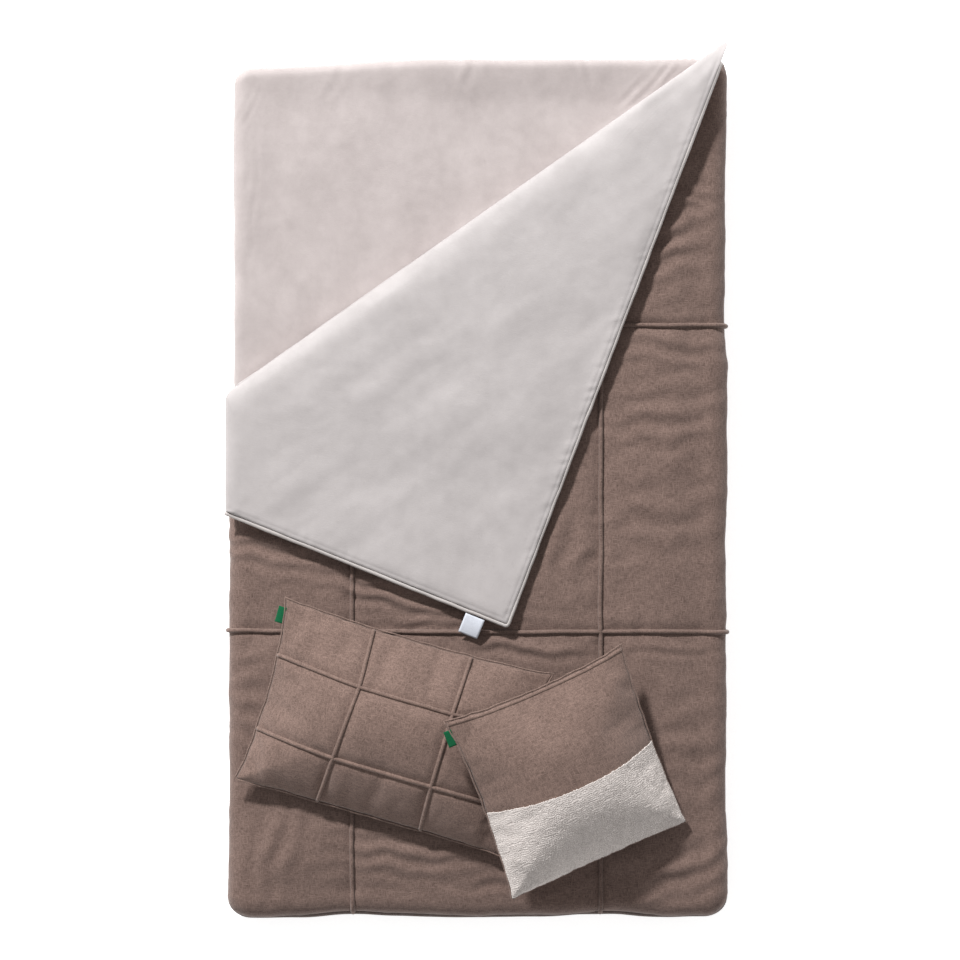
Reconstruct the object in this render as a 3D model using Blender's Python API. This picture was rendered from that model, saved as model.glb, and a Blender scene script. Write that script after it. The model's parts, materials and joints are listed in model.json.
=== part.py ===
"""Infrared sauna blanket: a padded heated base, a quilted heated cover whose corner is
turned back, and the set's two loose cushions. Metres, +Z up, head end towards +Y."""

import math

import bmesh
import bpy
from mathutils import Matrix, Vector

for old in list(bpy.data.objects):
    bpy.data.objects.remove(old)

# ---------------------------------------------------------------- driving dimensions
GAP = 0.0003

BASE_WIDTH = 1.016
BASE_LENGTH = 1.768
BASE_CENTRE_Y = 0.004
BASE_CORNER_RADIUS = 0.045
BASE_EDGE_RADIUS = 0.030
SIDE_SEAM_HEIGHT = 0.030
UNDERSIDE_EDGE = 0.004
BASE_PIPING_RADIUS = 0.0025

UNDERSIDE_CLOTH = 0.002
BOXING_CLOTH = 0.002
FOAM_PAD = 0.040
REFLECTIVE_FILM = 0.001
HEATER_FELT = 0.003
WIRE_LAYER = 0.0024
MOISTURE_BARRIER = 0.001
COMFORT_WADDING = 0.0162
TOP_CLOTH = 0.002

COVER_CLEARANCE = 0.001
COVER_LINING = 0.002
COVER_FELT = 0.002
COVER_WADDING = 0.014
COVER_CLOTH = 0.003
COVER_SIDE_WADDING = 0.0042
COVER_SIDE_CLOTH = 0.0022
COVER_EDGE_RADIUS = 0.041
COVER_HEM_HEIGHT = 0.042
HEM_PIPING_RADIUS = 0.003

HEATER_INSET = 0.058
BARRIER_INSET = 0.036
WIRE_INSET = 0.078
WIRE_RUNS = 10
WIRE_BEND_POINTS = 4
SENSOR_SIZE = (0.012, 0.022)
CUTOUT_SIZE = (0.009, 0.016)

TUCK_WIDTH = 0.008
TUCK_HEIGHT = 0.004
TUCK_CROSS_HEIGHT = 0.0036
TUCK_ACROSS = (-0.2605, 0.2564)
TUCK_ALONG = (-0.308, 0.329)

CREASE_LEFT_Y = 0.184
CREASE_APEX_INSET = 0.0145
CREASE_HALF_GAP = 0.0043
CREASE_CLEARANCE = 0.0005
HEAD_OVERHANG = 0.012
MARGIN_WIDTH = 0.256
MARGIN_LEAN = 0.034
HEM_INSET = 0.004

LABEL_WIDTH = 0.042
LABEL_LENGTH = 0.044
LABEL_THICKNESS = 0.001
LABEL_FROM_CORNER = 0.076

INLET_WIDTH = 0.034
INLET_HEIGHT = 0.021
INLET_DEPTH = 0.022
INLET_WALL = 0.003
INLET_SOCKET_DEPTH = 0.015
INLET_BOTTOM = 0.005
INLET_FROM_FOOT = 0.180
PIN_RADIUS = 0.00125
PIN_LENGTH = 0.009
PIN_PITCH = 0.014
LEAD_RADIUS = 0.0011
LEAD_BEND = 0.008

CUSHION_CLOTH = 0.002
CUSHION_SEAM = 0.004
CUSHION_RISE = 0.45
LONG_CUSHION_LENGTH = 0.560
LONG_CUSHION_WIDTH = 0.386
LONG_CUSHION_TOP = 0.062
LONG_CUSHION_BOTTOM = 0.048
LONG_CUSHION_FROM_LABEL = (-0.1722, -0.2256)
LONG_CUSHION_TURN = math.radians(-16.0)
SQUARE_CUSHION_SIDE = 0.392
SQUARE_CUSHION_TOP = 0.056
SQUARE_CUSHION_BOTTOM = 0.050
SQUARE_CUSHION_FROM_LONG = (0.360, -0.090)
SQUARE_CUSHION_TURN = math.radians(22.5)
SQUARE_CUSHION_TILT = math.radians(11.5)
SQUARE_CUSHION_PITCH = math.radians(6.0)
SQUARE_CUSHION_SPLIT = -0.056
CUSHION_PULL_IN = 0.045
# Flat facets lie a little inside the curves they follow, so a resting cushion sinks by this.
FACET_SETTLE = 0.0009
ZIP_RADIUS = 0.002
TAG_LENGTH = 0.034
TAG_WIDTH = 0.014
TAG_THICKNESS = 0.001

# ---------------------------------------------------------------- levels and outlines


def stack(bottom, *thicknesses):
    """Bottom and top height of each layer laid on the one before it."""
    levels = []
    for thickness in thicknesses:
        levels.append((bottom, bottom + thickness))
        bottom += thickness + GAP
    return levels


UNDER_Z, FOAM_Z, FILM_Z, FELT_Z, WIRE_Z, BARRIER_Z, COMFORT_Z, TOP_Z = stack(
    0.0,
    UNDERSIDE_CLOTH,
    FOAM_PAD,
    REFLECTIVE_FILM,
    HEATER_FELT,
    WIRE_LAYER,
    MOISTURE_BARRIER,
    COMFORT_WADDING,
    TOP_CLOTH,
)
BASE_TOP = TOP_Z[1]
LINING_Z, COVER_FELT_Z, COVER_WIRE_Z, WADDING_Z, CLOTH_Z = stack(
    BASE_TOP + COVER_CLEARANCE,
    COVER_LINING,
    COVER_FELT,
    WIRE_LAYER,
    COVER_WADDING,
    COVER_CLOTH,
)
COVER_TOP = CLOTH_Z[1]
TUCK_Z = COVER_TOP + GAP
TUCK_TOP = TUCK_Z + TUCK_HEIGHT

LINING_OUT = COVER_CLEARANCE + COVER_LINING
WADDING_IN = LINING_OUT + GAP
WADDING_OUT = WADDING_IN + COVER_SIDE_WADDING
CLOTH_IN = WADDING_OUT + GAP
COVER_OUT = CLOTH_IN + COVER_SIDE_CLOTH

BASE_HEAD = BASE_CENTRE_Y + BASE_LENGTH / 2
BASE_FOOT = BASE_CENTRE_Y - BASE_LENGTH / 2
COVER_HALF = BASE_WIDTH / 2 + COVER_OUT
HEAD_HEM = BASE_HEAD + HEAD_OVERHANG

CREASE_LEFT = Vector((-COVER_HALF, CREASE_LEFT_Y))
CREASE_APEX = Vector((COVER_HALF - CREASE_APEX_INSET, HEAD_HEM))
CREASE_RUN = CREASE_APEX - CREASE_LEFT
CREASE_ANGLE = math.atan2(CREASE_RUN.y, CREASE_RUN.x)
CREASE_Z = COVER_TOP + CREASE_HALF_GAP

# ---------------------------------------------------------------- materials


def material(name, colour, roughness, metallic=0.0):
    made = bpy.data.materials.new(name)
    made.use_nodes = True
    shader = made.node_tree.nodes["Principled BSDF"]
    shader.inputs["Base Color"].default_value = (*colour, 1.0)
    shader.inputs["Roughness"].default_value = roughness
    shader.inputs["Metallic"].default_value = metallic
    return made


WOOL = material("brown wool cloth", (0.21, 0.15, 0.125), 0.95)
SATEEN = material("pale sateen", (0.60, 0.55, 0.53), 0.7)
BOUCLE = material("cream looped cloth", (0.60, 0.53, 0.47), 1.0)
PIPING = material("pale piping", (0.45, 0.38, 0.36), 0.8)
WADDING = material("white wadding", (0.85, 0.85, 0.83), 0.95)
FOAM = material("grey foam", (0.45, 0.45, 0.47), 0.9)
FILM = material("reflective film", (0.80, 0.80, 0.82), 0.2, 1.0)
FELT = material("carrier felt", (0.30, 0.30, 0.32), 0.95)
WIRE = material("heating wire sleeve", (0.50, 0.05, 0.04), 0.5)
BARRIER = material("moisture barrier", (0.12, 0.13, 0.15), 0.4)
BLACK_PLASTIC = material("black plastic", (0.02, 0.02, 0.02), 0.5)
PIN_METAL = material("plated pin", (0.75, 0.70, 0.55), 0.3, 1.0)
CERAMIC = material("ceramic bead", (0.80, 0.78, 0.70), 0.6)
LABEL_CLOTH = material("white label cloth", (0.88, 0.90, 0.93), 0.8)
TAG_CLOTH = material("green tag cloth", (0.02, 0.16, 0.08), 0.8)

# ---------------------------------------------------------------- mesh helpers


def add_object(name, points, faces, finish, parent=None):
    mesh = bpy.data.meshes.new(name)
    mesh.from_pydata([tuple(point) for point in points], [], faces)
    shell = bmesh.new()
    shell.from_mesh(mesh)
    bmesh.ops.recalc_face_normals(shell, faces=shell.faces)
    if shell.calc_volume(signed=True) < 0:
        bmesh.ops.reverse_faces(shell, faces=shell.faces)
    shell.to_mesh(mesh)
    shell.free()
    mesh.materials.append(finish)
    made = bpy.data.objects.new(name, mesh)
    bpy.context.scene.collection.objects.link(made)
    made.parent = parent
    return made


def hide(helper):
    helper.hide_render = True
    helper.display_type = "WIRE"


def boolean(target, helper, operation="DIFFERENCE"):
    hide(helper)
    modifier = target.modifiers.new(helper.name, "BOOLEAN")
    modifier.operation = operation
    modifier.solver = "EXACT"
    modifier.object = helper


def loft(name, rings, finish, parent=None):
    """A closed body through rings of equal length, capped at both ends."""
    count = len(rings[0])
    points = [point for ring in rings for point in ring]
    faces = [tuple(range(count)), tuple(range(len(points) - count, len(points)))]
    for level in range(len(rings) - 1):
        for side in range(count):
            here = level * count + side
            beside = level * count + (side + 1) % count
            faces.append((here, beside, beside + count, here + count))
    return add_object(name, points, faces, finish, parent)


def base_ring(outset, z, corner_steps=4):
    """The base's rounded outline moved outwards by outset, at height z."""
    radius = max(BASE_CORNER_RADIUS + outset, 0.002)
    half_x = BASE_WIDTH / 2 + outset - radius
    half_y = BASE_LENGTH / 2 + outset - radius
    ring = []
    for corner in range(4):
        sign_x = (1, -1, -1, 1)[corner]
        sign_y = (1, 1, -1, -1)[corner]
        for step in range(corner_steps + 1):
            angle = math.pi / 2 * (corner + step / corner_steps)
            x = sign_x * half_x + radius * math.cos(angle)
            y = BASE_CENTRE_Y + sign_y * half_y + radius * math.sin(angle)
            ring.append((x, y, z))
    return ring


def edge_profile(outset, top, radius, bottom, steps=3):
    """Outset and height from the bottom up a wall and over its rounded top edge."""
    rounded = []
    for step in range(steps + 1):
        angle = math.pi / 2 * step / steps
        rounded.append(
            (outset - radius * (1 - math.cos(angle)), top - radius + radius * math.sin(angle))
        )
    if bottom < rounded[0][1]:
        return [(outset, bottom), *rounded]
    above = [point for point in rounded if point[1] > bottom]
    below = rounded[len(rounded) - len(above) - 1]
    share = (bottom - below[1]) / (above[0][1] - below[1])
    start = below[0] + (above[0][0] - below[0]) * share
    return [(start, bottom), *above]


def cap_shell(name, outer, inner, finish):
    """A cap open below, between an outer and an inner profile, as one closed body."""
    profile = outer[::-1] + inner
    return loft(name, [base_ring(outset, z) for outset, z in profile], finish)


def prism(name, outline, bottom, top, finish, parent=None):
    rings = [[(x, y, z) for x, y in outline] for z in (bottom, top)]
    return loft(name, rings, finish, parent)


def box(name, low, high, finish, parent=None):
    outline = [(low[0], low[1]), (high[0], low[1]), (high[0], high[1]), (low[0], high[1])]
    return prism(name, outline, low[2], high[2], finish, parent)


def cylinder(name, start, end, radius, finish, sides=10, parent=None):
    start = Vector(start)
    along = (Vector(end) - start).normalized()
    across = along.orthogonal().normalized()
    other = along.cross(across)
    rings = []
    for centre in (start, Vector(end)):
        ring = []
        for side in range(sides):
            angle = 2 * math.pi * side / sides
            ring.append(centre + across * radius * math.cos(angle) + other * radius * math.sin(angle))
        rings.append(ring)
    return loft(name, rings, finish, parent)


def tube(name, points, radius, finish, closed=False, parent=None, resolution=1):
    """A round cord along the given points."""
    curve = bpy.data.curves.new(name, "CURVE")
    curve.dimensions = "3D"
    curve.bevel_depth = radius
    curve.bevel_resolution = resolution
    curve.use_fill_caps = True
    spline = curve.splines.new("POLY")
    spline.points.add(len(points) - 1)
    for place, point in zip(spline.points, points):
        place.co = (*point, 1.0)
    spline.use_cyclic_u = closed
    curve.materials.append(finish)
    made = bpy.data.objects.new(name, curve)
    bpy.context.scene.collection.objects.link(made)
    made.parent = parent
    return made


def inset_outline(outline, insets):
    """Moves each edge of a counter-clockwise outline inwards by its own distance."""
    lines = []
    for index, distance in enumerate(insets):
        start = Vector(outline[index])
        run = (Vector(outline[(index + 1) % len(outline)]) - start).normalized()
        inward = Vector((-run.y, run.x))
        lines.append((start + inward * distance, run))
    moved = []
    for index in range(len(lines)):
        point, run = lines[index - 1]
        other, other_run = lines[index]
        turn = run.x * other_run.y - run.y * other_run.x
        reach = ((other.x - point.x) * other_run.y - (other.y - point.y) * other_run.x) / turn
        moved.append(point + run * reach)
    return moved


def cord_bar(name, start, end, bottom, height, finish, parent=None):
    """A raised corded tuck: a low bar with a rounded top, from start to end in plan."""
    start = Vector(start)
    end = Vector(end)
    run = (end - start).normalized()
    side = Vector((-run.y, run.x))
    section = (
        (-TUCK_WIDTH / 2, 0.0),
        (TUCK_WIDTH / 2, 0.0),
        (TUCK_WIDTH / 2, height / 2),
        (TUCK_WIDTH / 4, height),
        (-TUCK_WIDTH / 4, height),
        (-TUCK_WIDTH / 2, height / 2),
    )
    rings = []
    for place in (start, end):
        rings.append([(*(place + side * across), bottom + up) for across, up in section])
    return loft(name, rings, finish, parent)


# ---------------------------------------------------------------- base

WALL_TOP = SIDE_SEAM_HEIGHT
TOP_OUTER = edge_profile(0.0, BASE_TOP, BASE_EDGE_RADIUS, WALL_TOP + GAP)
TOP_INNER = edge_profile(
    -TOP_CLOTH, TOP_Z[0], BASE_EDGE_RADIUS - TOP_CLOTH, WALL_TOP + GAP
)
FILL_OUTSET = -TOP_CLOTH - GAP
FILL_EDGE = BASE_EDGE_RADIUS - TOP_CLOTH - GAP

loft(
    "base_underside_cloth",
    [base_ring(-UNDERSIDE_EDGE, UNDER_Z[0]), base_ring(-GAP, UNDER_Z[1])],
    WOOL,
)


def band(name, profile, finish):
    """A strip that runs all the way round the base, from a closed profile."""
    shell = loft(name, [base_ring(outset, z) for outset, z in profile], finish)
    mesh = bmesh.new()
    mesh.from_mesh(shell.data)
    count = len(base_ring(0.0, 0.0))
    ends = [face for face in mesh.faces if len(face.verts) == count]
    edges = [edge for face in ends for edge in face.edges]
    bmesh.ops.delete(mesh, geom=ends, context="FACES_ONLY")
    bmesh.ops.bridge_loops(mesh, edges=edges)
    bmesh.ops.recalc_face_normals(mesh, faces=mesh.faces)
    mesh.to_mesh(shell.data)
    mesh.free()
    return shell


BOXING_BOTTOM = UNDER_Z[1] + GAP
boxing = band(
    "base_boxing",
    [
        (-BOXING_CLOTH, BOXING_BOTTOM),
        (-GAP, BOXING_BOTTOM),
        (0.0, BOXING_BOTTOM + BOXING_CLOTH),
        (0.0, WALL_TOP),
        (-BOXING_CLOTH, WALL_TOP),
    ],
    WOOL,
)
FOAM_OUTSET = -BOXING_CLOTH - GAP
FOAM_TOP_OUTSET = edge_profile(FILL_OUTSET, COMFORT_Z[1], FILL_EDGE, FOAM_Z[1])[0][0] - GAP
foam = loft(
    "base_foam_pad",
    [
        base_ring(FOAM_OUTSET, FOAM_Z[0]),
        base_ring(FOAM_OUTSET, SIDE_SEAM_HEIGHT),
        base_ring(FOAM_TOP_OUTSET, FOAM_Z[1]),
    ],
    FOAM,
)


def slab(name, inset, levels, finish):
    return loft(name, [base_ring(-inset, z, 2) for z in levels], finish)


slab("base_reflective_film", HEATER_INSET, FILM_Z, FILM)
slab("base_heater_felt", HEATER_INSET, FELT_Z, FELT)
barrier = slab("base_moisture_barrier", BARRIER_INSET, BARRIER_Z, BARRIER)
comfort = loft(
    "base_comfort_wadding",
    [
        base_ring(outset, z)
        for outset, z in edge_profile(FILL_OUTSET, COMFORT_Z[1], FILL_EDGE, COMFORT_Z[0])
    ],
    WADDING,
)
top_cloth = cap_shell("base_top_cloth", TOP_OUTER, TOP_INNER, SATEEN)
tube(
    "base_side_piping",
    base_ring(BASE_PIPING_RADIUS + GAP, WALL_TOP),
    BASE_PIPING_RADIUS,
    PIPING,
    closed=True,
)

# ---------------------------------------------------------------- heater in the base

HEATER_HALF = BASE_WIDTH / 2 - WIRE_INSET
HEATER_FOOT = BASE_FOOT + WIRE_INSET
HEATER_HEAD = BASE_HEAD - WIRE_INSET
INLET_Y = BASE_FOOT + INLET_FROM_FOOT
RETURN_STEP = 0.040
TERMINAL_STEP = 0.020


def heating_runs(half, foot, head_at, z, runs, start):
    """A wire laid up and down the length, then back along the foot to where it began."""
    pitch = 2 * half / (runs - 1)
    bend = pitch / 2
    points = [start, (half, start[1], z)]
    for run in range(runs):
        x = half - run * pitch
        going_up = run % 2 == 0
        if run == runs - 1:
            points.append((x, foot, z))
            break
        level = min(head_at(x), head_at(x - pitch)) - bend if going_up else foot + RETURN_STEP + bend
        for step in range(WIRE_BEND_POINTS + 1):
            angle = math.pi * step / WIRE_BEND_POINTS
            lift = bend * math.sin(angle) * (1 if going_up else -1)
            points.append((x - bend + bend * math.cos(angle), level + lift, z))
    points.append((half, foot, z))
    points.append((half, start[1] - TERMINAL_STEP - CUTOUT_SIZE[1], z))
    return points


WIRE_MID = sum(WIRE_Z) / 2
LEAD_X = BASE_WIDTH / 2 - HEATER_INSET + LEAD_BEND
tube(
    "base_heating_wire",
    heating_runs(
        HEATER_HALF,
        HEATER_FOOT,
        lambda x: HEATER_HEAD,
        WIRE_MID,
        WIRE_RUNS,
        (LEAD_X - GAP, INLET_Y, WIRE_MID),
    ),
    WIRE_LAYER / 2,
    WIRE,
)
box(
    "thermal_cutout",
    (HEATER_HALF - CUTOUT_SIZE[0] / 2, INLET_Y - TERMINAL_STEP - CUTOUT_SIZE[1] + GAP, WIRE_Z[0]),
    (HEATER_HALF + CUTOUT_SIZE[0] / 2, INLET_Y - TERMINAL_STEP, WIRE_Z[1]),
    CERAMIC,
)
box(
    "temperature_sensor",
    (-SENSOR_SIZE[0] / 2, BASE_CENTRE_Y - SENSOR_SIZE[1] / 2, WIRE_Z[0]),
    (SENSOR_SIZE[0] / 2, BASE_CENTRE_Y + SENSOR_SIZE[1] / 2, WIRE_Z[1]),
    CERAMIC,
)

# ---------------------------------------------------------------- inlet and leads

INLET_FACE = BASE_WIDTH / 2
INLET_BACK = INLET_FACE - INLET_DEPTH
INLET_MID_Z = INLET_BOTTOM + INLET_HEIGHT / 2
housing = box(
    "power_inlet_housing",
    (INLET_BACK, INLET_Y - INLET_WIDTH / 2, INLET_BOTTOM),
    (INLET_FACE, INLET_Y + INLET_WIDTH / 2, INLET_BOTTOM + INLET_HEIGHT),
    BLACK_PLASTIC,
)
socket = box(
    "socket_cutter",
    (
        INLET_FACE - INLET_SOCKET_DEPTH,
        INLET_Y - INLET_WIDTH / 2 + INLET_WALL,
        INLET_BOTTOM + INLET_WALL,
    ),
    (
        INLET_FACE + INLET_WALL,
        INLET_Y + INLET_WIDTH / 2 - INLET_WALL,
        INLET_BOTTOM + INLET_HEIGHT - INLET_WALL,
    ),
    BLACK_PLASTIC,
)
boolean(housing, socket)
for side, name in ((-1, "power_inlet_pin_left"), (1, "power_inlet_pin_right")):
    root = (INLET_FACE - INLET_SOCKET_DEPTH + GAP, INLET_Y + side * PIN_PITCH / 2, INLET_MID_Z)
    tip = (root[0] + PIN_LENGTH, root[1], root[2])
    cylinder(name, root, tip, PIN_RADIUS, PIN_METAL)
pocket = box(
    "pocket_cutter",
    (INLET_BACK - GAP, INLET_Y - INLET_WIDTH / 2 - GAP, INLET_BOTTOM - GAP),
    (
        INLET_FACE + INLET_WALL,
        INLET_Y + INLET_WIDTH / 2 + GAP,
        INLET_BOTTOM + INLET_HEIGHT + GAP,
    ),
    FOAM,
)
LEAD_SLOT = LEAD_RADIUS + GAP
slot = box(
    "lead_slot_cutter",
    (LEAD_X - LEAD_SLOT, INLET_Y - LEAD_SLOT, INLET_MID_Z - LEAD_SLOT),
    (INLET_BACK, INLET_Y + LEAD_SLOT, FOAM_Z[1] + INLET_WALL),
    FOAM,
)
boolean(boxing, pocket)
boolean(foam, pocket)
boolean(foam, slot)
tube(
    "heater_lead",
    [
        (INLET_BACK - GAP, INLET_Y, INLET_MID_Z),
        (LEAD_X + LEAD_BEND, INLET_Y, INLET_MID_Z),
        (LEAD_X + LEAD_BEND / 4, INLET_Y, INLET_MID_Z + LEAD_BEND / 4),
        (LEAD_X + LEAD_RADIUS, INLET_Y, INLET_MID_Z + LEAD_BEND),
        (LEAD_X + LEAD_RADIUS, INLET_Y, WIRE_Z[1]),
    ],
    LEAD_RADIUS,
    BLACK_PLASTIC,
)
COVER_LEAD = (LEAD_X + LEAD_RADIUS, INLET_Y + INLET_WIDTH)
cover_lead_points = (
    (*COVER_LEAD, FOAM_Z[1] + GAP),
    (*COVER_LEAD, COVER_WIRE_Z[1]),
)
cylinder("cover_heater_lead", *cover_lead_points, LEAD_RADIUS, BLACK_PLASTIC, 8)
lead_hole = cylinder(
    "lead_hole_cutter",
    (*COVER_LEAD, BARRIER_Z[0] - INLET_WALL),
    (*COVER_LEAD, COVER_FELT_Z[0]),
    LEAD_RADIUS + 2 * GAP,
    FOAM,
    12,
)
for pierced in (barrier, comfort, top_cloth):
    boolean(pierced, lead_hole)

# ---------------------------------------------------------------- cover

crease_cutter = box(
    "crease_cutter",
    (-BASE_LENGTH, -CREASE_CLEARANCE, -BASE_LENGTH),
    (2 * BASE_LENGTH, 2 * BASE_LENGTH, BASE_LENGTH),
    FOAM,
)
crease_cutter.location = (*CREASE_LEFT, CREASE_Z)
crease_cutter.rotation_euler = (0.0, 0.0, CREASE_ANGLE)


def cover_shell(name, inner_out, inner_top, outer_out, outer_top, finish):
    inner_radius = COVER_EDGE_RADIUS - (COVER_OUT - inner_out)
    outer_radius = COVER_EDGE_RADIUS - (COVER_OUT - outer_out)
    outer = edge_profile(outer_out, outer_top, outer_radius, COVER_HEM_HEIGHT)
    inner = edge_profile(inner_out, inner_top, inner_radius, COVER_HEM_HEIGHT)
    shell = cap_shell(name, outer, inner, finish)
    boolean(shell, crease_cutter)
    return shell


lining = cover_shell(
    "cover_lining", COVER_CLEARANCE, LINING_Z[0], LINING_OUT, LINING_Z[1], SATEEN
)
boolean(lining, lead_hole)
cover_shell("cover_wadding", WADDING_IN, WADDING_Z[0], WADDING_OUT, WADDING_Z[1], WADDING)
cover_shell("cover_outer_cloth", CLOTH_IN, CLOTH_Z[0], COVER_OUT, CLOTH_Z[1], WOOL)


def crease_y(x):
    """Height in plan of the crease at x."""
    return CREASE_LEFT.y + (x - CREASE_LEFT.x) * math.tan(CREASE_ANGLE)


COVER_HEATER_HALF = BASE_WIDTH / 2 - WIRE_INSET
CREASE_MARGIN = 0.070
COVER_FELT_EDGE = 0.016


def cover_felt_head(x):
    return crease_y(x) - CREASE_MARGIN


felt_half = COVER_HEATER_HALF + COVER_FELT_EDGE
felt_foot = HEATER_FOOT - COVER_FELT_EDGE
prism(
    "cover_heater_felt",
    [
        (-felt_half, felt_foot),
        (felt_half, felt_foot),
        (felt_half, cover_felt_head(felt_half)),
        (-felt_half, cover_felt_head(-felt_half)),
    ],
    *COVER_FELT_Z,
    FELT,
)
COVER_WIRE_MID = sum(COVER_WIRE_Z) / 2
tube(
    "cover_heating_wire",
    heating_runs(
        COVER_HEATER_HALF,
        HEATER_FOOT,
        lambda x: cover_felt_head(x) - COVER_FELT_EDGE,
        COVER_WIRE_MID,
        WIRE_RUNS,
        (COVER_LEAD[0] - LEAD_RADIUS - GAP, COVER_LEAD[1], COVER_WIRE_MID),
    ),
    WIRE_LAYER / 2,
    WIRE,
)

# ---------------------------------------------------------------- tucks and hem of the cover

FLAT_HALF = COVER_HALF - COVER_EDGE_RADIUS
FLAT_FOOT = BASE_FOOT - COVER_OUT + COVER_EDGE_RADIUS
tuck_bars = []
for x in TUCK_ACROSS:
    foot = (x, FLAT_FOOT)
    head = (x, crease_y(x) + TUCK_WIDTH)
    tuck_bars.append(cord_bar("cover_tuck_cords", foot, head, TUCK_Z, TUCK_HEIGHT, WOOL))
for y in TUCK_ALONG:
    left = max(-FLAT_HALF, CREASE_LEFT.x + (y - CREASE_LEFT.y) / math.tan(CREASE_ANGLE))
    tuck_bars.append(
        cord_bar("tuck_bar_along", (left, y), (FLAT_HALF, y), TUCK_Z, TUCK_CROSS_HEIGHT, WOOL)
    )
tucks = tuck_bars[0]
for bar in tuck_bars[1:]:
    boolean(tucks, bar, "UNION")
boolean(tucks, crease_cutter)


def hem_path():
    """Along the skirt's lower edge: left side, foot and right side up to the apex."""
    outset = COVER_OUT - HEM_PIPING_RADIUS
    z = COVER_HEM_HEIGHT - HEM_PIPING_RADIUS - GAP
    ring = base_ring(outset, z)
    left = -BASE_WIDTH / 2 - outset
    right = -left
    foot_corners = ring[10:20]
    start = (left, CREASE_LEFT.y - 2 * CREASE_CLEARANCE, z)
    end = (right, BASE_HEAD - BASE_CORNER_RADIUS, z)
    return [start, *foot_corners, end]


tube("cover_hem_piping", hem_path(), HEM_PIPING_RADIUS, PIPING)

# ---------------------------------------------------------------- turned-back corner
# Its pieces are drawn lying closed, in the crease's own frame: u along the crease from the
# left edge to the apex, v across it towards the head, w up from the crease axis. The empty
# on the axis then turns them over by half a turn.

crease_axis = bpy.data.objects.new("crease_axis", None)
bpy.context.scene.collection.objects.link(crease_axis)
crease_axis.location = (*CREASE_LEFT, CREASE_Z)
crease_axis.rotation_euler = (math.pi, 0.0, CREASE_ANGLE)


def in_crease(point):
    offset = Vector(point[:2]) - CREASE_LEFT
    turned = Matrix.Rotation(-CREASE_ANGLE, 2) @ offset
    return turned.x, turned.y


def crease_level(levels):
    return levels[0] - CREASE_Z, levels[1] - CREASE_Z


HEAD_LEFT = Vector((-COVER_HALF, HEAD_HEM))
FREE_CORNER = Vector((-COVER_HALF - MARGIN_WIDTH, HEAD_HEM))
# The turned-back corner ends at the cover's left outline, which the crease mirrors.
END_ANGLE = 2 * CREASE_ANGLE + math.pi / 2
END_RUN = Vector((math.cos(END_ANGLE), math.sin(END_ANGLE)))
END_REACH = (
    FREE_CORNER.x + MARGIN_LEAN * (FREE_CORNER.y - CREASE_LEFT.y) - CREASE_LEFT.x
) / (END_RUN.x + MARGIN_LEAN * END_RUN.y)
FREE_END = CREASE_LEFT + END_RUN * END_REACH

CORNER_OUTLINE = [in_crease(point) for point in (CREASE_LEFT, CREASE_APEX, HEAD_LEFT)]
MARGIN_OUTLINE = [
    in_crease(point) for point in (CREASE_LEFT, HEAD_LEFT, FREE_CORNER, FREE_END)
]
CORNER_FILL_Z = (LINING_Z[1] + GAP, WADDING_Z[1])


def corner_insets(hem):
    return CREASE_CLEARANCE, hem, GAP / 2


def margin_insets(hem):
    return GAP / 2, hem, hem, 0.0


def corner_prism(name, outline, insets, levels, finish, parent):
    moved = inset_outline(outline, insets)
    return prism(name, moved, *crease_level(levels), finish, parent)


CORNER_LAYERS = (
    ("outer_cloth", CLOTH_Z, HEM_INSET / 2, WOOL),
    ("wadding", CORNER_FILL_Z, HEM_INSET, WADDING),
    ("lining", LINING_Z, HEM_INSET / 2, SATEEN),
)
for layer, levels, hem, finish in CORNER_LAYERS:
    corner_prism(
        f"corner_{layer}", CORNER_OUTLINE, corner_insets(hem), levels, finish, crease_axis
    )

# The margin turns on the line where it meets the corner, at the lining's face.
margin_axis = bpy.data.objects.new("margin_axis", None)
bpy.context.scene.collection.objects.link(margin_axis)
margin_axis.parent = crease_axis
margin_axis.location = (0.0, 0.0, LINING_Z[0] - CREASE_Z)


def on_margin(piece):
    """Hangs a piece drawn in the crease's frame from the margin's own axis."""
    piece.parent = margin_axis
    piece.matrix_parent_inverse = Matrix.Translation(-margin_axis.location)


for layer, levels, hem, finish in CORNER_LAYERS:
    on_margin(
        corner_prism(
            f"margin_{layer}", MARGIN_OUTLINE, margin_insets(hem), levels, finish, None
        )
    )

PIPING_W = (LINING_Z[0] + CLOTH_Z[1]) / 2 - CREASE_Z
PIPING_OUT = HEM_PIPING_RADIUS + GAP - HEM_INSET
corner_line = inset_outline(CORNER_OUTLINE, corner_insets(-PIPING_OUT))
margin_line = inset_outline(MARGIN_OUTLINE, margin_insets(-PIPING_OUT))
PIPING_APEX_GAP = 0.016


def shortened(start, end, at_start, at_end):
    start = Vector(start)
    end = Vector(end)
    run = (end - start).normalized()
    return start + run * at_start, end - run * at_end


apex_end, head_end = shortened(corner_line[1], corner_line[2], PIPING_APEX_GAP, GAP)
tube(
    "corner_piping",
    [(*apex_end, PIPING_W), (*head_end, PIPING_W)],
    HEM_PIPING_RADIUS,
    PIPING,
    parent=crease_axis,
)
head_start, _ = shortened(margin_line[1], margin_line[2], GAP, 0.0)
head_turn, _ = shortened(margin_line[2], margin_line[1], HEM_PIPING_RADIUS, 0.0)
free_turn, free_stop = shortened(margin_line[2], margin_line[3], HEM_PIPING_RADIUS, GAP)
on_margin(
    tube(
        "margin_piping",
        [
            (*head_start, PIPING_W),
            (*head_turn, PIPING_W),
            (*free_turn, PIPING_W),
            (*free_stop, PIPING_W),
        ],
        HEM_PIPING_RADIUS,
        PIPING,
    )
)


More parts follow.
